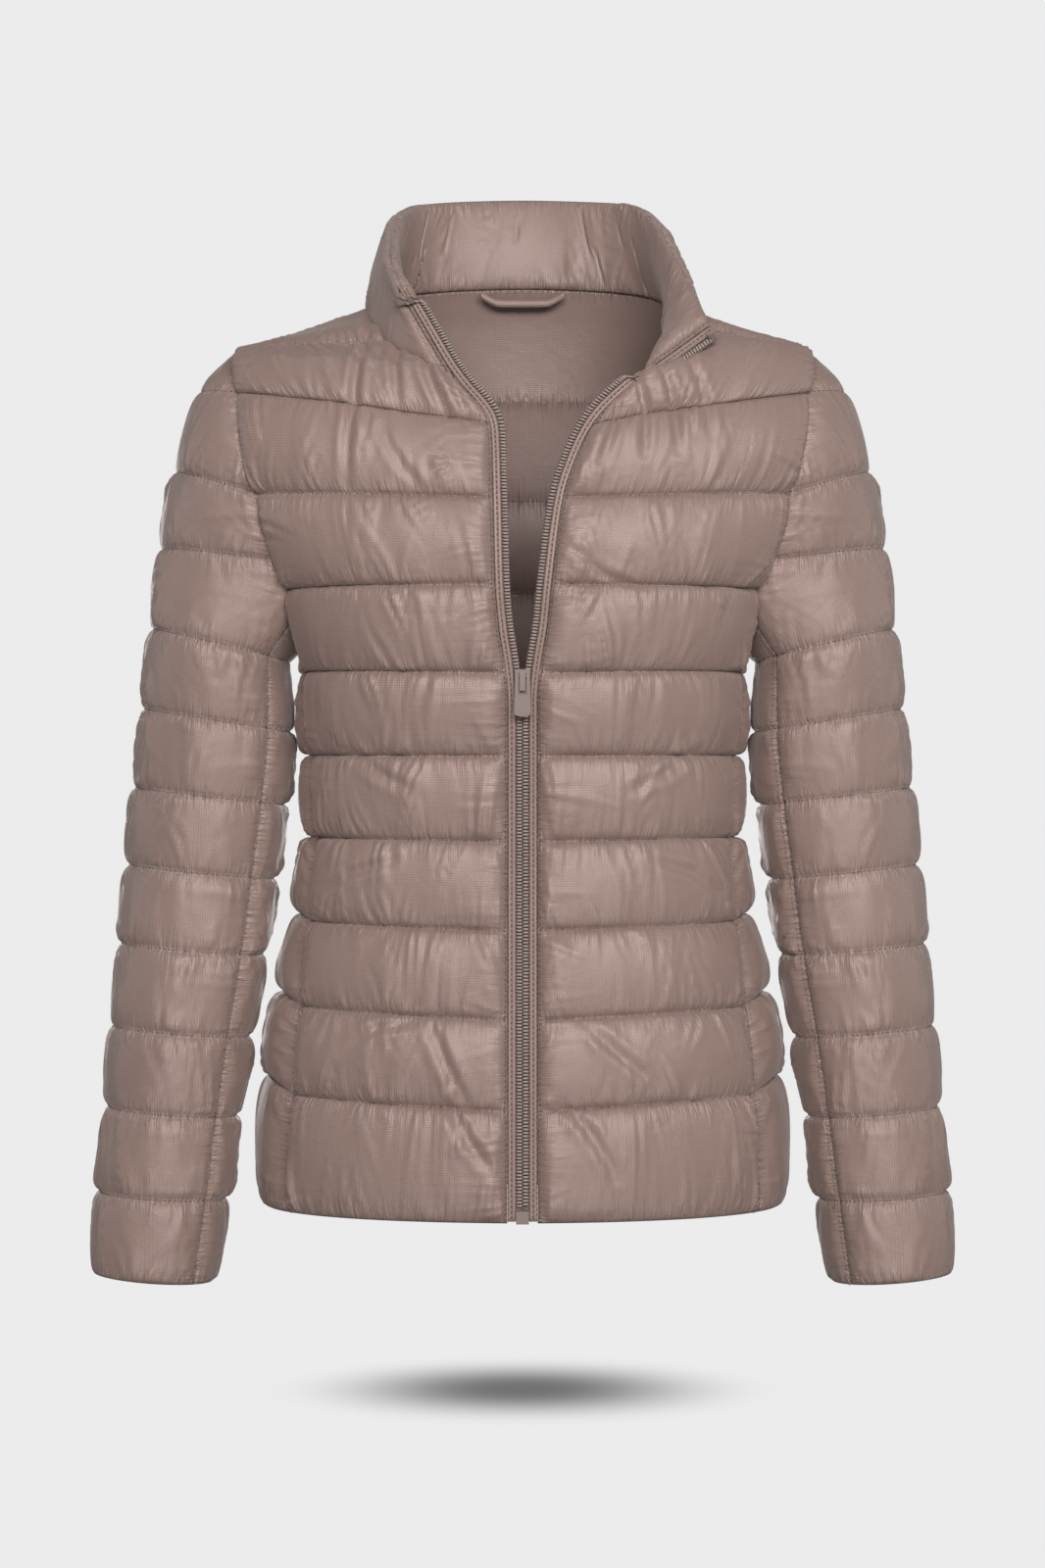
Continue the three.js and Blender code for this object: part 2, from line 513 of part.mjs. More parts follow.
function addCollar() {
  const leftFront = bodyLines.filter((line) => line <= NECK_CORNER_LINE + 1e-6);
  const stations = joinLines(leftFront.map((line) => neckStation(line, -1)).reverse(),
    steps(COLLAR_LEFT_POINT, COLLAR_RIGHT_POINT, NECK_COLUMNS), leftFront.map((line) => neckStation(line, 1)));
  const height = (rise, station) => {
    const end = Math.min(station, COLLAR_END - station);
    return rise <= 0 || rise >= 1 || end <= 0 ? SEAM_WALL
      : SEAM_WALL + COLLAR_PUFF * puffShape(rise) * Math.min(1, 0.4 + end) * (station > FOLD_STATION ? FOLD_PUFF : 1);
  };
  const top = (station) => collarSeamOut(station);
  for (const [name, way] of [['collar_outer', 1], ['collar_inner', -1]]) {
    const geometry = wall(steps(0, 1, COLLAR_ROWS), stations, collarPoint, height,
      { turn: -1, way, neckInset: COLLAR_INSET, lift: way * SEAM_INSET, edgeOut: { top } });
    add(name, geometry, CLOTH);
  }
}

// Zip: strips that run along both front edges and the collar's front edges
const BAND = { from: 1.7, to: 4.9, back: -0.6, face: 0.7, rib: 1.3 };
const TAPE_STRIP = { from: 1.6, to: 4.9, back: -3.0, face: -2.2 };
const COIL = { from: 6.1, to: 9.4, back: -1.0, face: 1.0 };
const SLIDER = { top: -250, bottom: -267, half: 5, plate: 1.4, clearance: 1.5, post: 1.1, backHalf: 4.5 };
const BRIDGE = { half: 1.8, top: -251.5, bottom: -264, leg: 1.3, gap: 2.6, bar: 1.2 };
const TAB = { pivot: -254.4, length: 26.5, half: 4.6, endHalf: 5.4, thick: 1.2, bar: 0.6, windowHalf: 2.7, windowEnd: 12.2 };
const BOX = { half: 4.2, top: -601.3, bottom: -609.6, thick: 3.6 };
const STOP = { size: 3, thick: 2.6 };
const CHAIN_END_LINE = 10.88;
const BAND_END_LINE = 10.98;
const MOUTH_LINE = 4.9;      // above this line the two coils have parted

// Frame of the zip at a front line: edge point, direction across towards the coil, direction out
function zipFrame(line, side) {
  const edge = frontEdge(line, side);
  const inside = frontPoint(line, 0.08, side);
  const across = edge.clone().sub(inside);
  if (line >= MOUTH_LINE) across.set(-side, 0, 0);
  across.normalize();
  return { edge, across, along: frontEdge(line + 0.02, side).sub(frontEdge(line - 0.02, side)).normalize() };
}

function collarFrame(rise, side) {
  const station = side < 0 ? 0 : COLLAR_END;
  const inside = collarPoint(rise, station - side * 0.3);
  const edge = collarPoint(rise, station);
  const along = collarPoint(0, station).sub(collarPoint(1, station)).normalize();
  return { edge, across: edge.clone().sub(inside).normalize(), along };
}

// Frames from the collar's top edge down to the given line
function zipFrames(side, endLine) {
  const collar = [0.98, 0.75, 0.5, 0.4].map((rise) => collarFrame(rise, side));
  const upper = steps(NECK_CORNER_LINE + 0.18, 2, 3).map((line) => zipFrame(line, side));
  const open = steps(2.25, MOUTH_LINE - 0.15, 9).map((line) => zipFrame(line, side));
  const closed = steps(5.2, endLine, 12).map((line) => zipFrame(line, side));
  const frames = [...collar, ...upper, ...open, ...closed];
  return frames.map((frame, i) => {
    const near = [frames[Math.max(i - 1, 0)], frame, frames[Math.min(i + 1, frames.length - 1)]];
    const mean = (key) => near.reduce((sum, item) => sum.add(item[key]), vec(0, 0, 0)).normalize();
    const across = mean('across');
    const out = mean('along').cross(across).normalize();
    if (out.y > 0) out.negate();
    return { ...frame, across, out };
  });
}

// Strip swept along the zip with a section of [across, out] corners
function strip(frames, section, side) {
  const rings = frames.map(({ edge, across, out }) => section.map(([a, n]) => edge.clone()
    .addScaledVector(across, a).addScaledVector(out, n)));
  const positions = rings.flat().flatMap((point) => [point.x, point.y, point.z]);
  const indices = [];
  const corners = section.length;
  const triangle = (a, b, c) => indices.push(...(side < 0 ? [a, b, c] : [a, c, b]));
  for (let i = 0; i < rings.length - 1; i += 1) {
    for (let j = 0; j < corners; j += 1) {
      const k = (j + 1) % corners;
      const [a, b, c, d] = [i * corners + j, i * corners + k, (i + 1) * corners + k, (i + 1) * corners + j];
      triangle(a, b, c);
      triangle(a, c, d);
    }
  }
  const lastRing = (rings.length - 1) * corners;
  const cap = THREE.ShapeUtils.triangulateShape(section.map(([a, n]) => new THREE.Vector2(a, n)), []);
  for (const [a, b, c] of cap) {
    triangle(a, c, b);
    triangle(lastRing + a, lastRing + b, lastRing + c);
  }
  const geometry = new THREE.BufferGeometry();
  geometry.setAttribute('position', new THREE.Float32BufferAttribute(positions, 3));
  geometry.setIndex(indices);
  geometry.computeVertexNormals();
  return geometry;
}

const rectangle = ({ from, to, back, face }) => [[from, back], [to, back], [to, face], [from, face]];
function ribbedSection() {
  const width = BAND.to - BAND.from;
  const at = (share) => BAND.from + width * share;
  return [[BAND.from, BAND.back], [BAND.to, BAND.back], [BAND.to, BAND.face], [at(0.78), BAND.rib],
    [at(0.5), BAND.face], [at(0.22), BAND.rib], [BAND.from, BAND.face]];
}

function addZip() {
  for (const [label, side] of [['right', -1], ['left', 1]]) {
    const frames = zipFrames(side, BAND_END_LINE);
    add(`zip_band_${label}`, strip(frames, ribbedSection(), side), CLOTH);
    add(`zip_tape_${label}`, strip(frames, rectangle(TAPE_STRIP), side), TAPE);
    const chain = zipFrames(side, CHAIN_END_LINE);
    add(`zip_coil_${label}`, strip(chain.slice(1), rectangle(COIL), side), TAPE);
    const top = chain[0];
    const stop = new THREE.BoxGeometry(STOP.size, STOP.thick, STOP.size);
    const place = top.edge.clone().addScaledVector(top.across, COIL.to - STOP.size / 4)
      .addScaledVector(top.along, STOP.size * 0.6);
    const mesh = add(`top_stop_${label}`, stop, METAL);
    mesh.quaternion.setFromRotationMatrix(new THREE.Matrix4().makeBasis(top.across.clone().multiplyScalar(-side),
      top.out.clone().negate(), top.across.clone().multiplyScalar(-side).cross(top.out.clone().negate())));
    mesh.position.copy(place);
  }
}

const wasm = await Module();
wasm.setup();

function toSolid(geometry) {
  const plain = geometry.clone();
  plain.deleteAttribute('normal');
  plain.deleteAttribute('uv');
  const merged = mergeVertices(plain, 1e-4);
  return new wasm.Manifold(new wasm.Mesh({
    numProp: 3,
    vertProperties: merged.attributes.position.array,
    triVerts: new Uint32Array(merged.index.array),
  }));
}

function toGeometry(solid) {
  const mesh = solid.getMesh();
  const geometry = new THREE.BufferGeometry();
  geometry.setAttribute('position', new THREE.BufferAttribute(mesh.vertProperties, 3));
  geometry.setIndex(new THREE.BufferAttribute(mesh.triVerts, 1));
  return geometry;
}

// Box from x -half to half, y0 to y1 and z0 to z1
function block(half, y0, y1, z0, z1) {
  const geometry = new THREE.BoxGeometry(2 * half, Math.abs(y1 - y0), Math.abs(z1 - z0));
  return geometry.translate(0, (y0 + y1) / 2, (z0 + z1) / 2);
}

// Slider: a plate before and behind the coils, joined by a post between them, and a bridge for the tab
function addSlider() {
  const coilY = sectionY(5.15, 0, -1);
  const face = coilY - COIL.face - SLIDER.clearance;
  const back = coilY - COIL.back + SLIDER.clearance;
  const front = face - SLIDER.plate;
  const barBack = front - BRIDGE.gap;
  const blocks = [
    block(SLIDER.half, front, face, SLIDER.bottom, SLIDER.top),
    block(SLIDER.backHalf, back, back + SLIDER.plate, SLIDER.bottom, SLIDER.top),
    block(SLIDER.post, face, back, SLIDER.top - 2.5, SLIDER.top),
    block(BRIDGE.half, barBack - BRIDGE.bar, barBack, BRIDGE.bottom, BRIDGE.top),
    block(BRIDGE.half, barBack, front, BRIDGE.top - BRIDGE.leg, BRIDGE.top),
    block(BRIDGE.half, barBack, front, BRIDGE.bottom, BRIDGE.bottom + BRIDGE.leg),
  ];
  const solid = blocks.map(toSolid).reduce((sum, item) => sum.add(item));
  add('zip_slider', toGeometry(solid), METAL);
  addTab(front - BRIDGE.gap / 2);
}

// Pull tab: a plate with a window round the bridge; its upper bar turns under the bridge
function addTab(centreY) {
  const outline = new THREE.Shape();
  outline.moveTo(-TAB.half, TAB.bar);
  outline.lineTo(TAB.half, TAB.bar);
  outline.lineTo(TAB.endHalf, -TAB.length + TAB.endHalf * 0.6);
  outline.quadraticCurveTo(TAB.endHalf, -TAB.length, 0, -TAB.length);
  outline.quadraticCurveTo(-TAB.endHalf, -TAB.length, -TAB.endHalf, -TAB.length + TAB.endHalf * 0.6);
  outline.closePath();
  const window = new THREE.Path();
  window.moveTo(-TAB.windowHalf, -TAB.bar);
  window.lineTo(-TAB.windowHalf, -TAB.windowEnd);
  window.lineTo(TAB.windowHalf, -TAB.windowEnd);
  window.lineTo(TAB.windowHalf, -TAB.bar);
  window.closePath();
  outline.holes.push(window);
  const geometry = new THREE.ExtrudeGeometry(outline, { depth: TAB.thick, bevelEnabled: false, curveSegments: 6 });
  const plain = mergeVertices(geometry.deleteAttribute('normal').deleteAttribute('uv'));
  plain.rotateX(Math.PI / 2).translate(0, centreY + TAB.thick / 2, TAB.pivot);
  add('pull_tab', plain, METAL);
}

// Box at the foot of the zip, and the loop that the jacket hangs by
function addBox() {
  const y = sectionY(HEM_LINE, 0, -1) - 0.4;
  add('zip_box', block(BOX.half, y - BOX.thick / 2, y + BOX.thick / 2, BOX.bottom, BOX.top), METAL);
}

const LOOP = { half: 29, flat: 20, rise: 6, width: 8, thick: 1.4, y: 71, z: 12, bend: 0.004 };
function addLoop() {
  const centre = [-LOOP.half, -LOOP.flat, -LOOP.flat / 2, 0, LOOP.flat / 2, LOOP.flat, LOOP.half];
  const points = (lift, depth) => centre.map((x) => vec(x, LOOP.y - LOOP.bend * x * x + depth,
    LOOP.z + lift + (Math.abs(x) > LOOP.flat ? LOOP.rise : 0)));
  const top = LOOP.width / 2;
  const inner = [points(-top, 0), points(top * 0.2, 0)];
  const outer = [points(-top, -LOOP.thick), points(top * 0.2, -LOOP.thick)];
  add('hanger_loop', shell(inner, outer, false), CLOTH);
}

addFront('front_right', -1);
addFront('front_left', 1);
addBack();
addSide('side_left', false);
addSide('side_right', true);
addSleeve('sleeve_upper_left', 'sleeve_under_left', false);
addSleeve('sleeve_upper_right', 'sleeve_under_right', true);
addCollar();
addZip();
addSlider();
addBox();
addLoop();

export default jacket;
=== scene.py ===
"""Quilted puffer jacket, half unzipped: the looks of every piece, in metres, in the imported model's frame."""
import math
import bmesh
import bpy
import numpy as np
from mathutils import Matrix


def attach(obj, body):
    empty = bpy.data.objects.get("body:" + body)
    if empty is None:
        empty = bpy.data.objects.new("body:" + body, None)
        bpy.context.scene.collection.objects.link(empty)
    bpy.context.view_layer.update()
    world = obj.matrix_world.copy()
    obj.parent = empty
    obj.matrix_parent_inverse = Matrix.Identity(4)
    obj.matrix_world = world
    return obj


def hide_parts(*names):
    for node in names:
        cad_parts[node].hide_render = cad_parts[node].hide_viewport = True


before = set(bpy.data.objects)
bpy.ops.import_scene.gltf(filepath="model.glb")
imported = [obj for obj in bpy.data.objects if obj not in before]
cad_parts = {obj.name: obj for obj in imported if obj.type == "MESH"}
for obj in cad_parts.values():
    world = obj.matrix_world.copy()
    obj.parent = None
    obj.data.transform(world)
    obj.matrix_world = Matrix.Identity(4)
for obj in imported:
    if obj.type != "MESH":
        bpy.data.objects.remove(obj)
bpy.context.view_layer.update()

MM = 0.001

# Shape; lines are numbered from the shoulder down, one for each row of stitches
WALL = 0.002
ROUNDNESS = 2.3  # of a body section: 2 is an ellipse, more is squarer
UNDERARM_LINE = 13 / 3
FIRST_SIDE_LINE = 5  # first line that runs over the side panel from seam to seam
YOKE_LINE = 2  # first line of the back below the shoulder
YOKE_ROUND = 0.005
NECK_CORNER_LINE = 1.5  # where a front's edge leaves the neck
FLAT_EDGE_LINE = 4.4  # from here down the front edges lie on the body's section
MOUTH_LINE = 4.9  # where the two front edges part
COLLAR_END = 13  # last place round the collar, at the wearer's left zip end
SLEEVE_LINE = 4  # first line that runs right round the sleeve
SLEEVE_SEAM_LINE = 3.5
SLEEVE_SEAM_ANGLE = 138

# Distance between the mesh points of the cloth, in metres
GRID = 0.0026
FRONT_CELL = 0.0019
SLEEVE_CELL = 0.0024
ROW_STEPS = 25  # points that measure the way between two lines
COLUMN_STEPS = 200  # points that measure the way across a panel

# Cloth blown up between its rows of stitches
EXTRA_ACROSS = 0.035  # how much longer the cloth is than its panel
EXTRA_DOWN = 0.05
FULL_PUFF = 0.008  # puff at which the cloth has all of EXTRA_DOWN
CEILING = 1.35  # highest cloth, as a share of the puff
PRESSURE = 0.00006
ROUNDS = 60
PASSES = 3
KEPT_SPEED = 0.9
SMOOTHING = 0.06
START_HEIGHT = 0.0015
START_NOISE = 0.0008
NOISE_SPACING = 3  # grid points between two random heights
LEAST_HEIGHT = 0.0002
LEAST_ROOM = 0.0003  # between the finished cloth and its wall
THREAD_PULL = (0.9, 0.5)  # share of a stretch and of a squeeze that one pass takes up
BIAS_PULL = (0.35, 0.15)
LINING_PUFF = 0.003
LINING_FADE = 0.012  # width of the flat lining beside a seam

# Gathers beside the rows of stitches
PUCKER_WAVES = (0.016, 0.0105, 0.0075)
PUCKER_REACH = 0.0075
PUCKER_LEAST_REACH = 0.003
PUCKER_HEIGHT = 0.002
SIDE_GATHERS = 0.6
SIDE_SEED = 50
SEAM_FADE = 0.006
CALM_LEAST = 0.3  # puff that is left at the calm upper edge
CREASE_SPRING = 0.45  # height of the raised lips beside a crease
CREASE_LIPS = 2.1

# Materials
RIPSTOP_CELL = 0.00145
CLOTH_COLOR = (0.315, 0.232, 0.205)
GATHER_END = 0.019
GATHER_SIZES = [(170, 22, 0.012), (420, 60, 0.005)]  # noise across, noise away, reach in metres

# Zip: strips across from the cloth's edge towards the coil and out from it, in millimetres
BAND = {"start": 0.2, "end": 5.3, "back": -0.6, "face": 0.7, "rib": 1.5}
BAND_STEPS = 13
BAND_ROUND = 0.7
TAPE_STRIP = {"start": 1.2, "end": 9.9, "back": -2.2, "face": -1.4}
BAND_SEAMS = (0.0005, 0.0028)  # the two sewn lines across the band
BAND_SEAM_HEIGHT = 0.0011
BAND_END_LINE = 10.985
COIL_END_LINE = 10.86
TOOTH_PITCH = 0.0022
TOOTH_SIDES = 6
TOOTH_SIZE = (0.0023, 0.0008, 0.0013)
TOOTH_PLACE = 0.0078  # across from the cloth's edge
FIRST_TOOTH = 0.004
ZIP_FACING = 0.3  # how far the strips still turn with the cloth, 0 to 1
COLLAR_RISES = (0.98, 0.12, 26)  # first and last share of the collar's height, and the number of places
OPEN_STEPS = 90
CLOSED_STEPS = 130
CLOSED_START_LINE = 5.15
MOUTH_GAP = 0.1
CORNER_GAP = 0.05
NEXT_STATION = 0.3  # a place inside the collar's edge that shows the way across
NEXT_SHARE = 0.08
ZIP_SMOOTHING = 8

# Threads, with half sizes along, across and out
STITCHES = []  # sewn lines, each a path with its normals
STITCH_PITCH = 0.0035
STITCH_SIZE = (0.0012, 0.00038, 0.0003)
STITCH_SIDES = 4
FIRST_STITCH = 0.002
STITCH_LIFT = 0.0001
BAR_SHOULDER = 0.55  # where a small bar starts to taper, as a share of its half length

# Hanger loop, in millimetres
LOOP = {"half": 29, "flat": 20, "round": 3, "width": 8, "rise": 6, "y": 71, "bow": 0.004, "z": 10.4}
LOOP_STEPS = 41

# Camera, lights and studio
CAMERA_DISTANCE = 2.512
CAMERA_HEIGHT = -0.3245
CAMERA_LENS = 85
CAMERA_SENSOR = 36
CAMERA_REACH = 30
WORLD_COLOR = (0.84, 0.84, 0.84, 1)
WORLD_STRENGTH = 0.11
LIGHTS = [
    ("key", (0.3, -2.5, 0.8), (0, 0, -0.3), (2.6, 0.8), 80),
    ("low", (0.2, -2.3, -1.5), (0, 0, -0.3), (2.4, 0.8), 17),
    ("top", (0.0, 0.1, 2.3), (0, 0, -0.3), (1.4, 1.0), 5),
    ("back", (-0.3, 2.8, -0.2), (0, 0, -0.3), (2.4, 0.9), 32),
    ("side_left", (-2.6, 0.5, 0.2), (0, 0, -0.3), (0.8, 1.4), 8),
    ("side_right", (2.6, 0.5, 0.2), (0, 0, -0.3), (0.8, 1.4), 8),
]
FLOOR_HEIGHT = -0.735
FLOOR_DEPTH = 0.01  # what lies lower than this above the floor counts as floor
STUDIO_TONE = 0.835
# Painted shadow on the floor below the jacket: its darkest tone and half sizes
SHADOW_TONE = 0.17
SHADOW_HALF_WIDTH = 0.19
SHADOW_HALF_DEPTH = 0.16
STUDIO_RADIUS = 7.0
STUDIO_HEIGHT = 8.0
STUDIO_CURVE = 2.0
STUDIO_CURVE_STEPS = 10
STUDIO_SIDES = 64


def table(names, rows):
    """Table with named columns, in millimetres and degrees; a line is a number of a row of stitches."""
    return {name: np.array([row[i] for row in rows], float) for i, name in enumerate(names.split())}


# The same tables as the CAD model's, in millimetres
BODY = table("line zip seam back half front rear shift seamX", [
    (0, -2, -35, 21, 196, 0, 0, 8, 193), (1, -30, -38, -20, 196, 62, 62, 6, 193),
    (2, -90, -65, -55, 205, 92, 92, 2, 189), (3, -139, -132, -125, 203, 104, 102, 0, 176),
    (4, -195, -194, -190, 165, 112, 104, 0, 155), (5, -252, -249, -250, 147, 108, 98, 0, 143),
    (6, -306, -305, -305, 142, 101, 90, 0, 138), (7, -362, -360, -360, 141, 99, 87, 0, 134),
    (8, -420, -416, -412, 147, 103, 93, 0, 138), (9, -478, -472, -465, 159, 108, 101, 0, 144),
    (10, -537, -530, -521, 168, 112, 107, 0, 149), (11, -609, -608, -608, 171, 114, 110, 0, 152)])
ARMHOLE = {"y": 0, "z": -132, "halfDepth": 60, "halfHeight": 97}
ARMHOLE_WIDTH = table("z x", [(-229, 149), (-207, 152), (-186, 158), (-145, 171.5), (-100, 183.5),
                              (-58, 190), (-35, 193)])
ARM_ANGLE = table("line angle", [(0, 0), (1, 14), (2, 46), (3, 90), (4, 129.5), (13 / 3, 143)])
COLLAR = table("line x y z topX topY topZ", [
    (0, -45, -85, -58, -79, -69, 2), (1, -60, -78, -54, -84, -55, 13), (2, -80, -60, -41, -89, -30, 30),
    (3, -95, -30, -21, -89, -4, 46), (4, -103, 8, -2, -86, 22, 62), (5, -92, 42, 10, -74, 52, 76),
    (6, -55, 66, 18, -42, 76, 82), (7, 0, 75, 21, 0, 84, 84), (8, 55, 66, 18, 42, 76, 82),
    (9, 92, 42, 10, 74, 54, 77), (10, 103, 8, -2, 92, 26, 60), (11, 101, -25, -18, 104, -5, 32),
    (12, 93, -62, -38, 114, -38, 5), (13, 79, -89, -56, 124, -69, -22)])
EDGE_RIGHT = table("line x y", [(1.5, 45, -85), (2, 21, -94), (3, 19.4, -107), (4, 18, -112.6),
                                (4.5, 15.6, -110), (5.2, 9.8, -107), (11, 9.8, -114)])
EDGE_LEFT = table("line x y", [(1.5, 79, -89), (2, 46, -97), (2.5, 34, -103), (3, 26.5, -107),
                               (4, 19, -112.6), (4.5, 16, -110), (5.2, 9.8, -107), (11, 9.8, -114)])
SLEEVE = table("line outX outZ inX inZ half y", [
    (4, 248, -220, 160, -241, 56, 0), (5, 254, -274, 160, -289, 54, 1), (6, 260, -327, 164, -338, 52, 1),
    (7, 264, -379, 171, -388, 50, 0), (8, 269, -432, 178, -439, 49, -4), (9, 274, -487, 187, -494, 47, -10),
    (10, 277, -541, 195, -547, 45, -16), (11, 282, -597, 202, -602, 43, -23),
    (12, 285, -651, 210, -657, 40, -30)])
SLEEVE_HEAD = table("line outX outZ armLine endAngle", [
    (0, 193.2, -35, 1, 90), (1, 216, -61, 2, 90), (2, 232, -114, 3, 92), (3, 242, -166, 11 / 3, 108),
    (3.5, 246, -193, 13 / 3, 138)])
NECK_POINT = (103, 8, -2)

# Numbers of the lines that are sewn on each panel
BODY_STITCHES = [0, 1, 2, 3, 4, 5, 6, 7, 8, 9, 10, 11]
BACK_STITCHES = [0, 2, 3, 4, 5, 6, 7, 8, 9, 10, 11]
SIDE_STITCHES = [UNDERARM_LINE, 5, 6, 7, 8, 9, 10, 11]
SLEEVE_STITCHES = list(range(0, 13))
UNDER_STITCHES = [SLEEVE_SEAM_LINE, 4, 5, 6, 7, 8, 9, 10, 11, 12]

# Creases, each a path in X and Z with its depth and half width, in millimetres
RIGHT_FOLDS = [
    {"path": [(-100, -7), (-105, -37), (-108, -73), (-111, -94), (-112, -130)], "depth": 3.9, "width": 2.7},
    {"path": [(-86, -14), (-84, -50), (-78, -84)], "depth": 2.7, "width": 2.5},
    {"path": [(-74, -26), (-62, -60), (-42, -96)], "depth": 2.7, "width": 2.5},
    {"path": [(-64, -34), (-46, -66), (-32, -92)], "depth": 2.2, "width": 2.2},
    {"path": [(-92, -95), (-78, -118), (-60, -138)], "depth": 1.5, "width": 2.5},
    {"path": [(-60, -478), (-48, -508), (-36, -532)], "depth": 2.7, "width": 3.1},
    {"path": [(-48, -532), (-36, -556), (-20, -578)], "depth": 2.7, "width": 3.1},
    {"path": [(-112, -300), (-90, -318), (-66, -330)], "depth": 1.8, "width": 3.1},
    {"path": [(-126, -402), (-106, -384), (-80, -376)], "depth": 2.1, "width": 2.7},
    {"path": [(-112, -500), (-92, -486), (-66, -480)], "depth": 1.8, "width": 2.9},
]
LEFT_DENTS = [
    {"path": [(118, -32), (100, -44), (84, -54), (70, -64), (54, -84)], "depth": 8, "width": 9},
]
LEFT_FOLDS = [
    {"path": [(74, -56), (80, -84), (78, -112)], "depth": 3.3, "width": 2.5},
    {"path": [(88, -48), (98, -80), (100, -110)], "depth": 3.0, "width": 2.7},
    {"path": [(104, -40), (116, -72), (120, -100)], "depth": 2.1, "width": 2.7},
    {"path": [(62, -70), (60, -96), (52, -118)], "depth": 2.7, "width": 2.4},
    {"path": [(30, -170), (52, -188), (76, -196)], "depth": 1.8, "width": 2.7},
    {"path": [(36, -478), (60, -500), (84, -520)], "depth": 2.4, "width": 3.1},
    {"path": [(126, -402), (106, -384), (84, -376)], "depth": 2.1, "width": 2.7},
    {"path": [(24, -530), (44, -552), (60, -580)], "depth": 2.4, "width": 3.1},
    {"path": [(112, -300), (90, -318), (66, -330)], "depth": 1.7, "width": 3.1},
]


def smooth(rows, by, key, at):
    """Smooth value of a column between the rows, without overshoot."""
    xs, ys = rows[by], rows[key]
    slopes = np.diff(ys) / np.diff(xs)
    before, after = slopes[:-1], slopes[1:]
    safe = np.where(before + after == 0, 1, before + after)
    inner = np.where(before * after <= 0, 0, 2 * before * after / safe)
    tangents = np.concatenate([slopes[:1], inner, slopes[-1:]])
    at = np.clip(at, xs[0], xs[-1])
    i = np.clip(np.searchsorted(xs, at, side="right") - 1, 0, len(xs) - 2)
    span = xs[i + 1] - xs[i]
    t = (at - xs[i]) / span
    return (ys[i] * (2 * t**3 - 3 * t**2 + 1) + tangents[i] * span * (t**3 - 2 * t**2 + t)
            + ys[i + 1] * (3 * t**2 - 2 * t**3) + tangents[i + 1] * span * (t**3 - t**2))


def linear(rows, by, key, at):
    return np.interp(at, rows[by], rows[key])


def mix(a, b, t):
    return a + (b - a) * t


def point(x, y, z):
    return np.stack(np.broadcast_arrays(x, y, z), axis=-1).astype(float)


def body(line, key):
    return smooth(BODY, "line", key, line)


def section_y(line, x, facing):
    """Depth of a body section at distance x from the middle."""
    ratio = np.minimum(np.abs(x) / body(line, "half"), 1)
    depth = np.where(np.asarray(facing) < 0, body(line, "front"), body(line, "rear"))
    return facing * depth * (1 - ratio**ROUNDNESS) ** (1 / ROUNDNESS) + body(line, "shift")


def armhole(angle, facing):
    turn = np.radians(angle)
    z = ARMHOLE["z"] + ARMHOLE["halfHeight"] * np.cos(turn)
    y = ARMHOLE["y"] + facing * ARMHOLE["halfDepth"] * np.sin(turn)
    return point(smooth(ARMHOLE_WIDTH, "z", "x", z), y, z)


def row_end(line, facing):
    """Outer end of a body row on the wearer's left: armhole above, side seam below."""
    line = np.asarray(line, float)
    on_arm = armhole(smooth(ARM_ANGLE, "line", "angle", line), facing)
    top = armhole(smooth(ARM_ANGLE, "line", "angle", UNDERARM_LINE), facing)
    t = np.clip((line - UNDERARM_LINE) / (FIRST_SIDE_LINE - UNDERARM_LINE), 0, 1)
    x = body(line, "seamX")
    seam = point(x, section_y(line, x, facing), body(line, "seam"))
    start_x = body(UNDERARM_LINE, "seamX")
    start = point(start_x, section_y(UNDERARM_LINE, start_x, facing), body(UNDERARM_LINE, "seam"))
    seam = seam + (top - start) * ((1 - t) ** 2)[..., None]
    return np.where((line <= UNDERARM_LINE)[..., None], on_arm, seam)


def collar_seam(station):
    return point(*(smooth(COLLAR, "line", key, station) for key in ("x", "y", "z")))


def collar_top(station):
    return point(*(smooth(COLLAR, "line", key, station) for key in ("topX", "topY", "topZ")))


def neck_station(line, side):
    """Place round the collar's seam where a line of the front meets the neck."""
    share = np.where(line < 1, line * 0.375, mix(0.375, 1, (line - 1) / (NECK_CORNER_LINE - 1)))
    return 4 * (1 - share) if side < 0 else 10 + (COLLAR_END - 10) * share


def front_edge(line, side):
    """Edge of a front beside the zip; side is -1 on the wearer's right."""
    line = np.asarray(line, float)
    on_neck = collar_seam(neck_station(line, side))
    rows = EDGE_RIGHT if side < 0 else EDGE_LEFT
    corner = collar_seam(neck_station(NECK_CORNER_LINE, side))[..., 2]
    t = np.clip((line - NECK_CORNER_LINE) / 0.5, 0, 1)
    z = np.where(line < 2, mix(corner, body(2, "zip"), t), body(line, "zip"))
    y = np.where(line > FLAT_EDGE_LINE, section_y(line, 0, -1), smooth(rows, "line", "y", line))
    along = point(side * smooth(rows, "line", "x", line), y, z)
    return np.where((line <= NECK_CORNER_LINE)[..., None], on_neck, along)


def front_point(line, share, side):
    start, end = front_edge(line, side), row_end(line, -1)
    x = mix(np.abs(start[..., 0]), end[..., 0], share)
    start_pull = (start[..., 1] - section_y(line, start[..., 0], -1)) * (1 - share) ** 3
    end_pull = (end[..., 1] - section_y(line, end[..., 0], -1)) * share**3
    y = section_y(line, x, -1) + start_pull + end_pull
    return point(side * x, y, mix(start[..., 2], end[..., 2], share))


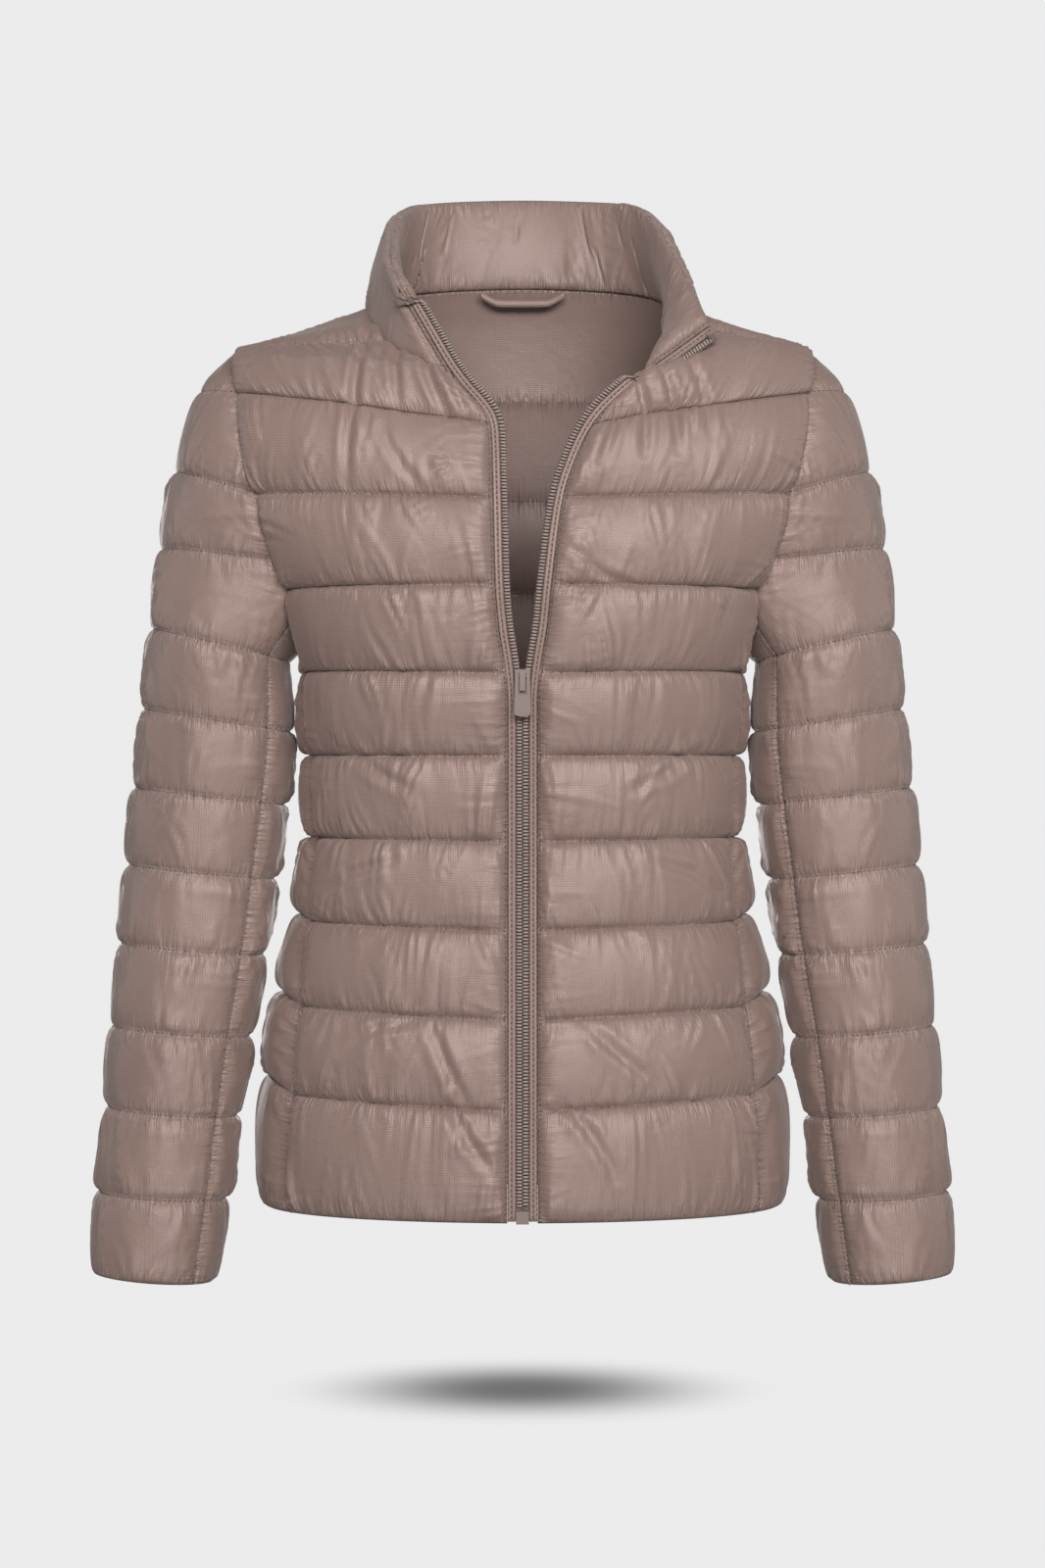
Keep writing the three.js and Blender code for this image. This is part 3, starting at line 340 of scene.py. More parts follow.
def yoke_top(share):
    """Upper edge of the back: the neck in the middle, then the shoulder out to each armhole."""
    corner = NECK_POINT[0] / BODY["seamX"][0]
    on_neck = collar_seam(mix(4, 10, (np.clip(share / corner, -1, 1) + 1) / 2))
    t = np.clip((np.abs(share) - corner) / (1 - corner), 0, 1)
    tip = armhole(0, 1)
    x = np.sign(share) * mix(NECK_POINT[0], tip[..., 0], t)
    shoulder = point(x, mix(NECK_POINT[1], tip[..., 1], t**3), mix(NECK_POINT[2], tip[..., 2], t))
    return np.where((np.abs(share) <= corner)[..., None], on_neck, shoulder)


def back_point(line, share):
    row = np.maximum(line, YOKE_LINE)
    end = row_end(row, 1)
    x = end[..., 0] * np.abs(share)
    pull = (end[..., 1] - section_y(row, end[..., 0], 1)) * np.abs(share) ** 3
    height = mix(body(row, "back"), end[..., 2], share**2)
    lower = point(np.sign(share) * x, section_y(row, x, 1) + pull, height)
    t = np.clip(line / YOKE_LINE, 0, 1)[..., None]
    bulge = YOKE_ROUND / MM * 4 * t * (1 - t)
    tip_error = row_end(line, 1) - mix(yoke_top(np.ones_like(share)), end, t)
    tip_error = tip_error * (np.abs(share) ** 4)[..., None]
    tip_error[..., 0] *= np.sign(share)
    yoke = mix(yoke_top(share), lower, t) + tip_error
    yoke = yoke + bulge * (1 - share**4)[..., None] * np.array([0, 0.6, 0.8])
    return np.where((line >= YOKE_LINE)[..., None], lower, yoke)


def side_ring(line, share):
    half = body(line, "half")
    limit = np.arccos((body(line, "seamX") / half) ** (ROUNDNESS / 2))
    angle = mix(-limit, limit, share)
    depth = np.where(angle < 0, body(line, "front"), body(line, "rear"))
    y = np.sign(angle) * depth * np.abs(np.sin(angle)) ** (2 / ROUNDNESS)
    height = mix(body(line, "back"), body(line, "seam"), (2 * share - 1) ** 2)
    return point(half * np.cos(angle) ** (2 / ROUNDNESS), y + body(line, "shift"), height)


def side_point(line, share):
    t = np.clip((line - UNDERARM_LINE) / (FIRST_SIDE_LINE - UNDERARM_LINE), 0, 1)[..., None]
    start = float(smooth(ARM_ANGLE, "line", "angle", UNDERARM_LINE))
    first_line = np.full_like(share, float(FIRST_SIDE_LINE))
    facing = np.where(share < 0.5, -1.0, 1.0)
    ends = mix(armhole(start + 0 * share, facing), side_ring(first_line, (share >= 0.5) * 1.0), t)
    front_end, rear_end = row_end(line, -1), row_end(line, 1)
    wanted = np.where((share < 0.5)[..., None], front_end, rear_end)
    upper = mix(armhole(mix(start, 360 - start, share), -1), side_ring(first_line, share), t)
    upper = upper + (wanted - ends) * ((2 * share - 1) ** 2)[..., None]
    return np.where((line >= FIRST_SIDE_LINE)[..., None], side_ring(line, share), upper)


def sleeve_ring(line, degrees):
    across = (1 + np.cos(np.radians(degrees))) / 2
    in_x, out_x, in_z, out_z, y, half = (smooth(SLEEVE, "line", key, line)
                                         for key in ("inX", "outX", "inZ", "outZ", "y", "half"))
    return point(mix(in_x, out_x, across), y + half * np.sin(np.radians(degrees)), mix(in_z, out_z, across))


def upper_sleeve_point(line, share):
    ring = sleeve_ring(np.maximum(line, SLEEVE_LINE), mix(-SLEEVE_SEAM_ANGLE, SLEEVE_SEAM_ANGLE, share))
    head = np.minimum(line, SLEEVE_SEAM_LINE)
    angle = smooth(ARM_ANGLE, "line", "angle", linear(SLEEVE_HEAD, "line", "armLine", head))
    end = armhole(angle, 1)
    end_turn = np.radians(smooth(SLEEVE_HEAD, "line", "endAngle", head))
    turn = mix(-end_turn, end_turn, share)
    rise = (np.cos(turn) - np.cos(end_turn)) / (1 - np.cos(end_turn))
    cap = point(mix(end[..., 0], smooth(SLEEVE_HEAD, "line", "outX", head), rise),
                end[..., 1] * np.sin(turn) / np.sin(end_turn),
                mix(end[..., 2], smooth(SLEEVE_HEAD, "line", "outZ", head), rise))
    t = np.clip((line - SLEEVE_SEAM_LINE) / (SLEEVE_LINE - SLEEVE_SEAM_LINE), 0, 1)[..., None]
    return mix(cap, ring, t)


def under_sleeve_point(line, share):
    angle = mix(SLEEVE_SEAM_ANGLE, 360 - SLEEVE_SEAM_ANGLE, 1 - share)
    ring = sleeve_ring(np.maximum(line, SLEEVE_LINE), angle)
    start = float(smooth(ARM_ANGLE, "line", "angle", UNDERARM_LINE))
    arc = armhole(mix(start, 360 - start, share), -1)
    t = np.clip((line - SLEEVE_SEAM_LINE) / (SLEEVE_LINE - SLEEVE_SEAM_LINE), 0, 1)[..., None]
    return mix(arc, ring, t)


def collar_point(rise, station):
    return mix(collar_seam(station), collar_top(station), rise[..., None])


def normals_of(grid, turn):
    """Unit normals of a grid of points."""
    across = np.gradient(grid, axis=1)
    down = np.gradient(grid, axis=0)
    normal = np.cross(across, down) * turn
    return normal / np.maximum(np.linalg.norm(normal, axis=-1, keepdims=True), 1e-12)


def even_rows(point_at, lines, shares, target):
    """Line numbers spaced so that rows lie about target apart, with a row on every stitch line."""
    middle = shares[len(shares) // 2]
    out = []
    for a, b in zip(lines[:-1], lines[1:]):
        fine = np.linspace(a, b, ROW_STEPS)
        lengths = []
        for share in (shares[0], middle, shares[-1]):
            path = point_at(fine, np.full(ROW_STEPS, share)) * MM
            lengths.append(np.linalg.norm(np.diff(path, axis=0), axis=-1).sum())
        count = max(2, int(round(max(lengths) / target)))
        out.extend(np.linspace(a, b, count + 1)[:-1])
    return np.array(out + [lines[-1]])


def even_columns(point_at, line, first, last, target):
    """Shares across a panel, target apart where it is measured along the given line."""
    fine = np.linspace(first, last, COLUMN_STEPS)
    path = point_at(np.full(COLUMN_STEPS, line), fine) * MM
    steps = np.linalg.norm(np.diff(path, axis=0), axis=-1)
    run = np.concatenate([[0], np.cumsum(steps)])
    return np.interp(np.linspace(0, run[-1], int(run[-1] / target) + 2), run, fine)


def neighbours(count, start, axis, step):
    """Slices of the first and second points of every other pair along an axis, or along a diagonal."""
    first = [slice(None)] * 2
    second = [slice(None)] * 2
    first[axis] = slice(start, count - 1, 2)
    second[axis] = slice(start + 1, count, 2)
    if step:
        other = 1 - axis
        first[other] = slice(0, -1) if step > 0 else slice(1, None)
        second[other] = slice(1, None) if step > 0 else slice(0, -1)
    return tuple(first), tuple(second)


def project(points, mass, rest, axis, step, stiff_pull, stiff_push):
    """Pull pairs of neighbours towards their rest distance: even pairs first, then odd pairs."""
    count = points.shape[axis]
    for start in (0, 1):
        a, b = neighbours(count, start, axis, step)
        delta = points[b] - points[a]
        length = np.maximum(np.linalg.norm(delta, axis=-1), 1e-9)
        want = rest[start]
        share = np.where(length > want, stiff_pull, stiff_push)
        weight = mass[a] + mass[b]
        pull = np.where(weight > 0, share * (length - want) / np.maximum(weight * length, 1e-12), 0)
        points[a] += (mass[a] * pull)[..., None] * delta
        points[b] -= (mass[b] * pull)[..., None] * delta


def rest_lengths(points, axis, step, scale):
    """Lengths that the pairs want to have, for the even and for the odd pairs."""
    out = []
    count = points.shape[axis]
    for start in (0, 1):
        a, b = neighbours(count, start, axis, step)
        length = np.linalg.norm(points[b] - points[a], axis=-1)
        field = scale[a] if np.ndim(scale) else scale
        out.append(length * field)
    return out


def inflate(base, normal, pinned, extra_across, extra_down, pressure, limit, seed, rounds):
    """Cloth that is sewn down where pinned and longer than its base elsewhere, blown up from one side."""
    rng = np.random.default_rng(seed)
    rows, columns = base.shape[:2]
    mass = np.where(pinned, 0.0, 1.0)
    noise = rng.standard_normal((rows // NOISE_SPACING + 2, columns // NOISE_SPACING + 2))
    r = np.linspace(0, noise.shape[0] - 1.001, rows)
    c = np.linspace(0, noise.shape[1] - 1.001, columns)
    ri, ci = r.astype(int), c.astype(int)
    rf, cf = (r - ri)[:, None], (c - ci)[None, :]
    soft = (noise[ri][:, ci] * (1 - rf) * (1 - cf) + noise[ri + 1][:, ci] * rf * (1 - cf)
            + noise[ri][:, ci + 1] * (1 - rf) * cf + noise[ri + 1][:, ci + 1] * rf * cf)
    points = base + normal * (mass * (START_HEIGHT + START_NOISE * soft))[..., None]
    before = points.copy()
    rest_a = rest_lengths(base, 1, 0, extra_across)
    rest_d = rest_lengths(base, 0, 0, extra_down)
    diagonal = (extra_across + extra_down) / 2
    rest_p = rest_lengths(base, 1, 1, diagonal)
    rest_m = rest_lengths(base, 1, -1, diagonal)
    turn = 1 if np.sum(np.cross(np.gradient(base, axis=1), np.gradient(base, axis=0)) * normal) > 0 else -1
    for _ in range(rounds):
        push = normals_of(points, turn) * pressure
        moved = points + (points - before) * KEPT_SPEED * mass[..., None] + push * mass[..., None]
        before = points
        points = moved
        for _ in range(PASSES):
            project(points, mass, rest_d, 0, 0, *THREAD_PULL)
            project(points, mass, rest_a, 1, 0, *THREAD_PULL)
            project(points, mass, rest_p, 1, 1, *BIAS_PULL)
            project(points, mass, rest_m, 1, -1, *BIAS_PULL)
        middle = points[1:-1, 1:-1]
        mean = (points[:-2, 1:-1] + points[2:, 1:-1] + points[1:-1, :-2] + points[1:-1, 2:]) / 4
        points[1:-1, 1:-1] = middle + (mean - middle) * (SMOOTHING * mass[1:-1, 1:-1])[..., None]
        height = np.sum((points - base) * normal, axis=-1)
        short = np.clip(height, LEAST_HEIGHT, limit) - height
        points = points + normal * (short * mass)[..., None]
    return points


def line_puff(lines):
    """Height of a baffle between its stitch lines, 0 to 1."""
    t = lines - np.floor(lines + 1e-6)
    return (4 * np.clip(t * (1 - t), 0, 1)) ** 0.7


def linked(thing):
    """The object itself, once it is in the scene."""
    bpy.context.scene.collection.objects.link(thing)
    return thing


def closed_shell(name, outer, inner, layers, turn):
    """Mesh between an outer and an inner grid, closed round the rim."""
    rows, columns = outer.shape[:2]
    index = np.arange(rows * columns).reshape(rows, columns)
    a, b, c, d = index[:-1, :-1], index[:-1, 1:], index[1:, 1:], index[1:, :-1]
    top = np.stack([a, b, c, d] if turn > 0 else [a, d, c, b], -1).reshape(-1, 4)
    offset = rows * columns
    below = (np.stack([a, d, c, b] if turn > 0 else [a, b, c, d], -1) + offset).reshape(-1, 4)
    rim = np.concatenate([index[0, :], index[1:, -1], index[-1, -2::-1], index[-2:0:-1, 0]])
    following = np.roll(rim, -1)
    side = [rim, rim + offset, following + offset, following] if turn > 0 else \
        [rim, following, following + offset, rim + offset]
    faces = np.concatenate([top, below, np.stack(side, -1)])
    points = np.concatenate([outer.reshape(-1, 3), inner.reshape(-1, 3)])
    mesh = bpy.data.meshes.new(name)
    mesh.vertices.add(len(points))
    mesh.vertices.foreach_set("co", points.astype(np.float32).ravel())
    mesh.loops.add(faces.size)
    mesh.loops.foreach_set("vertex_index", faces.astype(np.int32).ravel())
    mesh.polygons.add(len(faces))
    mesh.polygons.foreach_set("loop_start", np.arange(0, faces.size, 4, dtype=np.int32))
    mesh.polygons.foreach_set("use_smooth", np.ones(len(faces), bool))
    for label, uv in layers.items():
        layer = mesh.uv_layers.new(name=label)
        both = np.concatenate([uv.reshape(-1, 2), uv.reshape(-1, 2)])
        layer.data.foreach_set("uv", both[faces.ravel()].astype(np.float32).ravel())
    mesh.update(calc_edges=True)
    mesh.validate()
    return linked(bpy.data.objects.new(name, mesh))


def cloth_uv(grid):
    """Distances across and down the cloth, in metres."""
    across = np.linalg.norm(np.diff(grid, axis=1), axis=-1)
    across = np.concatenate([np.zeros((grid.shape[0], 1)), np.cumsum(across, axis=1)], axis=1)
    across -= across[:, grid.shape[1] // 2][:, None]
    down = np.linalg.norm(np.diff(grid, axis=0), axis=-1)
    down = np.concatenate([np.zeros((1, grid.shape[1])), np.cumsum(down, axis=0)], axis=0)
    down = down.mean(axis=1)[:, None] + 0 * down
    return np.stack([across, down], -1)


def flip_x(grid):
    return grid * np.array([-1.0, 1.0, 1.0])


def wander(at, wavelengths, random):
    """Uneven wave along a line, about -1 to 1."""
    total = np.zeros_like(at)
    for length in wavelengths:
        phase = random.uniform(0, 2 * math.pi)
        stretch = length * random.uniform(0.85, 1.15)
        total += np.sin(2 * math.pi * at / stretch + phase + 1.4 * np.sin(at / (stretch * 1.7) + phase))
    return total / len(wavelengths) ** 0.5


def pucker_ridge(along, away, random):
    """Gathers that run away from a sewn line and die out, 0 to 1."""
    slant = 0.3 * wander(along, (0.09, 0.05), random)
    moved = along + slant * away
    wave = np.abs(wander(moved, PUCKER_WAVES, random)) ** 0.8
    reach = PUCKER_REACH * (1 + 0.5 * wander(along, (0.07, 0.031), random))
    reach = np.maximum(reach, PUCKER_LEAST_REACH)
    strength = np.clip(0.75 + 0.5 * wander(along, (0.12, 0.045), random), 0.15, 1.4)
    return wave * strength * (away / reach) * np.exp(1 - away / reach)


def puckers(along, lines, stitch_lines, spacing, seed):
    """Height of all gathers on a panel whose sewn lines are at the given line numbers."""
    random = np.random.default_rng(seed)
    height = np.zeros_like(along)
    for sewn in stitch_lines:
        for facing in (-1, 1):
            away = (lines - sewn) * facing * spacing
            near = (away >= 0) & (away < spacing * 1.01)
            ridge = pucker_ridge(along, np.clip(away, 0, None), random)
            height += np.where(near, ridge, 0)
    return height


def side_gathers(across_left, across_right, down, seed):
    """Gathers that run away from the seams at the two sides of a panel."""
    random = np.random.default_rng(seed)
    left = pucker_ridge(down, across_left, random)
    return left + pucker_ridge(down, across_right, random)


def creases(grid, folds):
    """Depth of the named folds: each is a path in X and Z with its depth and half width, in millimetres."""
    depth = np.zeros(grid.shape[:2])
    for fold in folds:
        path = np.array(fold["path"], float) * MM
        best = np.full(grid.shape[:2], 1e3)
        share = np.zeros(grid.shape[:2])
        for index in range(len(path) - 1):
            start, step = path[index], path[index + 1] - path[index]
            offset = grid[..., [0, 2]] - start
            t = np.clip(offset @ step / (step @ step), 0, 1)
            distance = np.linalg.norm(offset - t[..., None] * step, axis=-1)
            closer = distance < best
            best = np.where(closer, distance, best)
            share = np.where(closer, (index + t) / (len(path) - 1), share)
        width = fold["width"] * MM
        fade = np.sin(math.pi * np.clip(share, 0.04, 0.96)) ** 0.6
        lips = CREASE_SPRING * np.exp(-((best - CREASE_LIPS * width) / width) ** 2)
        shape = np.exp(-(best / width) ** 2) - lips
        depth += fold["depth"] * MM * shape * fade
    return depth


def quilt(name, node, point_at, stitch_lines, share_range, turn, puff, seed, mirror=None, thin_above=None,
          folds=(), lining=1.0, cell=GRID, gather=1.0, flat_edge=1, lining_top=None, dents=(),
          calm_above=None):
    """One quilted panel, and its mirrored twin if mirror names its node."""
    widest = stitch_lines[len(stitch_lines) // 2]
    shares = even_columns(point_at, widest, *share_range, cell)
    lines = even_rows(point_at, stitch_lines, shares, cell)
    grid_lines, grid_shares = np.meshgrid(lines, shares, indexing="ij")
    base = point_at(grid_lines, grid_shares) * MM
    normal = normals_of(base, turn)
    if dents:
        base = base - normal * creases(base, dents)[..., None]
    start = base + normal * WALL
    whole = np.isin(np.round(lines, 6), np.round(stitch_lines, 6))
    pinned = np.zeros(base.shape[:2], bool)
    pinned[whole, :] = True
    pinned[:, :flat_edge] = pinned[:, -flat_edge:] = True
    swell = np.full(base.shape[:2], 1.0)
    if thin_above is not None:
        swell = np.clip((lines - thin_above[0]) / (thin_above[1] - thin_above[0]), 0.15, 1)[:, None] * swell
    if calm_above is not None:
        swell = swell * np.clip(lines / calm_above, CALM_LEAST, 1)[:, None]
    across = 1 + EXTRA_ACROSS * swell
    down = 1 + (puff / FULL_PUFF) * EXTRA_DOWN * swell
    ceiling = puff * CEILING * np.maximum(line_puff(lines), 0.05)[:, None] * swell
    outer = inflate(start, normal, pinned, across, down, PRESSURE, ceiling, seed, ROUNDS)
    uv = cloth_uv(base)
    spacing = np.linalg.norm(base[-1] - base[0], axis=-1).mean() / (stitch_lines[-1] - stitch_lines[0])
    from_left = uv[..., 0] - uv[:, :1, 0]
    from_right = uv[:, -1:, 0] - uv[..., 0]
    gathers = puckers(uv[..., 0] + 1, grid_lines, stitch_lines, spacing, seed)
    gathers += SIDE_GATHERS * side_gathers(from_left, from_right, uv[..., 1], seed + SIDE_SEED)
    gathers *= np.clip(from_left / SEAM_FADE, 0, 1) * np.clip(from_right / SEAM_FADE, 0, 1)
    height = PUCKER_HEIGHT * gather * gathers * swell - creases(base, folds)
    room = np.sum((outer - start) * normal, axis=-1)
    height = np.where(pinned, 0, np.maximum(height, LEAST_ROOM - room))
    outer = outer + normal * height[..., None]
    bulge = line_puff(lines)
    if lining_top is not None:
        bulge = np.where(lines < lining_top, line_puff(np.clip(lines / lining_top, 0, 0.999)), bulge)
    inside = bulge[:, None] * LINING_PUFF * swell * lining
    from_side = np.minimum(from_left, from_right)
    inside = inside * np.clip(from_side / LINING_FADE, 0, 1)
    inner = base - normal * inside[..., None] * (0 if thin_above is not None else 1)
    nearest = np.min(np.abs(grid_lines[..., None] - np.array(stitch_lines)), axis=-1) * spacing
    number = np.argmin(np.abs(grid_lines[..., None] - np.array(stitch_lines)), axis=-1)
    layers = {
        "cloth": uv,
        "rows": np.stack([uv[..., 0] + number * 0.37 + seed, nearest], -1),
        "sides": np.stack([uv[..., 1] + seed, from_side], -1),
    }
    piece = closed_shell(name, outer, inner, layers, turn)
    dress(piece, node)
    for row in np.flatnonzero(whole)[1:-1]:
        STITCHES.append((outer[row], normal[row]))
    for column in (1, -2):
        STITCHES.append((outer[:, column], normal[:, column]))
    if lining_top is not None:
        for row in np.flatnonzero(whole & (lines >= lining_top)):
            STITCHES.append((inner[row], -normal[row]))
    if mirror:
        twin = closed_shell("shell_" + mirror, flip_x(outer), flip_x(inner), layers, -turn)
        dress(twin, mirror)
        for row in np.flatnonzero(whole)[1:-1]:
            STITCHES.append((flip_x(outer[row]), flip_x(normal[row])))


def dress(piece, node):
    """Cloth, body and solid of a quilted panel."""
    piece.data.materials.append(MATERIALS["cloth"])
    state(piece, "jacket", node)


def set_inputs(shader_node, **values):
    """Constant values of a node's inputs; an underscore stands for a space."""
    for key, value in values.items():
        shader_node.inputs[key.replace("_", " ")].default_value = value


def principled(name, color, roughness):
    material = bpy.data.materials.new(name)
    material.use_nodes = True
    shader = material.node_tree.nodes["Principled BSDF"]
    set_inputs(shader, Base_Color=(*color, 1), Roughness=roughness)
    return material, material.node_tree, shader


def add_node(tree, kind, **settings):
    """New node in a material, with its settings."""
    made = tree.nodes.new(kind)
    for key, value in settings.items():
        setattr(made, key, value)
    return made


def maths(tree, operation, first, second=None):
    """Output of a math node on numbers or on other outputs."""
    made = add_node(tree, "ShaderNodeMath", operation=operation)
    for socket, value in zip(made.inputs, (first, second)):
        if isinstance(value, (int, float)):
            socket.default_value = value
        elif value is not None:
            tree.links.new(value, socket)
    return made.outputs[0]


def object_place(tree):
    return add_node(tree, "ShaderNodeTexCoord").outputs["Object"]


def cloth_place(tree, layer):
    """The two distances that a UV layer holds."""
    parts = add_node(tree, "ShaderNodeSeparateXYZ")
    tree.links.new(add_node(tree, "ShaderNodeUVMap", uv_map=layer).outputs[0], parts.inputs[0])
    return parts.outputs[:2]


def noise(tree, place, dimensions="3D", **values):
    made = add_node(tree, "ShaderNodeTexNoise", noise_dimensions=dimensions)
    set_inputs(made, **values)
    tree.links.new(place, made.inputs["Vector"])
    return made.outputs["Fac"]


def bump(tree, height, strength, distance, below=None):
    """Normal of a relief, on top of another one if below gives its normal."""
    made = add_node(tree, "ShaderNodeBump")
    set_inputs(made, Strength=strength, Distance=distance)
    tree.links.new(height, made.inputs["Height"])
    if below is not None:
        tree.links.new(below, made.inputs["Normal"])
    return made.outputs["Normal"]


def seam_gathers(tree, layer):
    """Height of the small gathers beside a sewn line; the layer holds the way along it and away from it."""
    along, away = cloth_place(tree, layer)
    heights = []
    for scale, stretch, reach in GATHER_SIZES:
        place = add_node(tree, "ShaderNodeCombineXYZ")
        tree.links.new(maths(tree, "MULTIPLY", along, scale), place.inputs[0])
        tree.links.new(maths(tree, "MULTIPLY", away, stretch), place.inputs[1])
        rough = noise(tree, place.outputs[0], "2D", Scale=1, Detail=1.5, Distortion=0.4)
        ridge = maths(tree, "ABSOLUTE", maths(tree, "SUBTRACT", rough, 0.5))
        fade = maths(tree, "EXPONENT", maths(tree, "MULTIPLY", away, -1 / reach))
        end = maths(tree, "MAXIMUM", maths(tree, "SUBTRACT", 1, maths(tree, "DIVIDE", away, GATHER_END)), 0)
        heights.append(maths(tree, "MULTIPLY", ridge, maths(tree, "MULTIPLY", fade, end)))
    return maths(tree, "ADD", heights[0], heights[1])


def ripstop_material():
    """Satin nylon with a fine raised grid, soft crinkles and slightly uneven colour."""
    material, tree, shader = principled("ripstop", CLOTH_COLOR, 0.4)
    link = tree.links.new
    lines = []
    for socket in cloth_place(tree, "cloth"):
        cell = maths(tree, "PINGPONG", maths(tree, "DIVIDE", socket, RIPSTOP_CELL), 0.5)
        lines.append(maths(tree, "SMOOTH_MIN", maths(tree, "MULTIPLY", cell, 5.0), 1.0))
    grid = maths(tree, "MULTIPLY", lines[0], lines[1])
    place = object_place(tree)
    crinkle = noise(tree, place, Scale=70, Detail=4, Distortion=0.6)
    tint = add_node(tree, "ShaderNodeMix", data_type="RGBA")
    set_inputs(tint, A=(0.265, 0.178, 0.152, 1), B=(0.33, 0.23, 0.199, 1))
    link(noise(tree, place, Scale=9, Detail=2), tint.inputs["Factor"])
    dark = add_node(tree, "ShaderNodeMix", data_type="RGBA")
    set_inputs(dark, A=(0.15, 0.105, 0.09, 1))
    link(tint.outputs["Result"], dark.inputs["B"])
    link(maths(tree, "ADD", maths(tree, "MULTIPLY", grid, 0.5), 0.5), dark.inputs["Factor"])
    link(dark.outputs["Result"], shader.inputs["Base Color"])
    gathered = maths(tree, "ADD", seam_gathers(tree, "rows"), seam_gathers(tree, "sides"))
    fine = bump(tree, grid, 0.3, 0.0003)
    coarse = bump(tree, crinkle, 0.2, 0.0025, fine)
    link(bump(tree, gathered, 1.0, 0.0034, coarse), shader.inputs["Normal"])
    set_inputs(shader, Sheen_Weight=0.35, Sheen_Roughness=0.4, Sheen_Tint=(1.0, 0.86, 0.82, 1))
    set_inputs(shader, Specular_IOR_Level=0.7, Specular_Tint=(1.0, 0.84, 0.8, 1))
    return material


def woven_material(name, color, scale):
    """Dull thread or tape with a fine woven relief."""
    material, tree, shader = principled(name, color, 0.7)
    wave = add_node(tree, "ShaderNodeTexWave", wave_type="BANDS", bands_direction="Z")
    set_inputs(wave, Scale=scale, Distortion=1.5)
    tree.links.new(object_place(tree), wave.inputs["Vector"])
    tree.links.new(bump(tree, wave.outputs["Fac"], 0.4, 0.0002), shader.inputs["Normal"])
    return material


def enamel_material():
    """Painted metal of the slider, the tab and the stops."""
    material, tree, shader = principled("zip_enamel", (0.24, 0.185, 0.165), 0.34)
    set_inputs(shader, Metallic=0.25)
    rough = add_node(tree, "ShaderNodeMapRange")
    set_inputs(rough, To_Min=0.25, To_Max=0.42)
    tree.links.new(noise(tree, object_place(tree), Scale=900), rough.inputs["Value"])
    tree.links.new(rough.outputs["Result"], shader.inputs["Roughness"])
    return material


MATERIALS = {
    "cloth": ripstop_material(),
    "thread": woven_material("thread", (0.13, 0.09, 0.078), 900),
    "tape": woven_material("zip_tape_weave", (0.19, 0.145, 0.128), 700),
    "coil": woven_material("zip_coil_nylon", (0.38, 0.29, 0.26), 1500),
    "metal": enamel_material(),
}

def frames_along(side, end_line):
    """Edge points with the directions across, along and out, from the collar's top down the front."""
    rises = np.linspace(*COLLAR_RISES)
    station = 0.0 if side < 0 else float(COLLAR_END)
    edge = collar_point(rises, np.full_like(rises, station))
    inside = collar_point(rises, np.full_like(rises, station - side * NEXT_STATION))
    across = edge - inside
    open_lines = np.linspace(NECK_CORNER_LINE + CORNER_GAP, MOUTH_LINE - MOUTH_GAP, OPEN_STEPS)
    closed_lines = np.linspace(CLOSED_START_LINE, end_line, CLOSED_STEPS)
    lines = np.concatenate([open_lines, closed_lines])
    low_edge = front_edge(lines, side)
    low_across = low_edge - front_point(lines, np.full_like(lines, NEXT_SHARE), side)
    low_across = np.where((lines >= MOUTH_LINE)[:, None], np.array([-side, 0, 0]), low_across)
    edge = np.concatenate([edge, low_edge]) * MM
    across = np.concatenate([across, low_across])
    across /= np.linalg.norm(across, axis=-1, keepdims=True)
    facing = np.cross(np.gradient(edge, axis=0), np.array([0, -1.0, 0]))
    facing /= np.linalg.norm(facing, axis=-1, keepdims=True)
    facing *= np.sign(np.sum(facing * across, axis=-1, keepdims=True))
    across = across * ZIP_FACING + facing * (1 - ZIP_FACING)
    for _ in range(ZIP_SMOOTHING):
        edge[1:-1] = (edge[:-2] + 2 * edge[1:-1] + edge[2:]) / 4
        across[1:-1] = (across[:-2] + across[1:-1] + across[2:]) / 3
    across /= np.linalg.norm(across, axis=-1, keepdims=True)
    along = np.gradient(edge, axis=0)
    along /= np.linalg.norm(along, axis=-1, keepdims=True)
    out = np.cross(along, across)
    out *= np.where(out[:, 1:2] > 0, -1, 1)
    out /= np.linalg.norm(out, axis=-1, keepdims=True)
    return edge, across, out, along


def smooth_piece(name, mesh, material):
    """Smoothly shaded piece of a mesh, with all faces turned outwards."""
    mesh.polygons.foreach_set("use_smooth", np.ones(len(mesh.polygons), bool))
    mesh.materials.append(material)
    work = bmesh.new()
    work.from_mesh(mesh)
    bmesh.ops.recalc_face_normals(work, faces=work.faces)
    work.to_mesh(mesh)
    work.free()
    return linked(bpy.data.objects.new(name, mesh))


def state(piece, body_name, source):
    """Body and solid of a piece."""
    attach(piece, body_name)
    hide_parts(source)


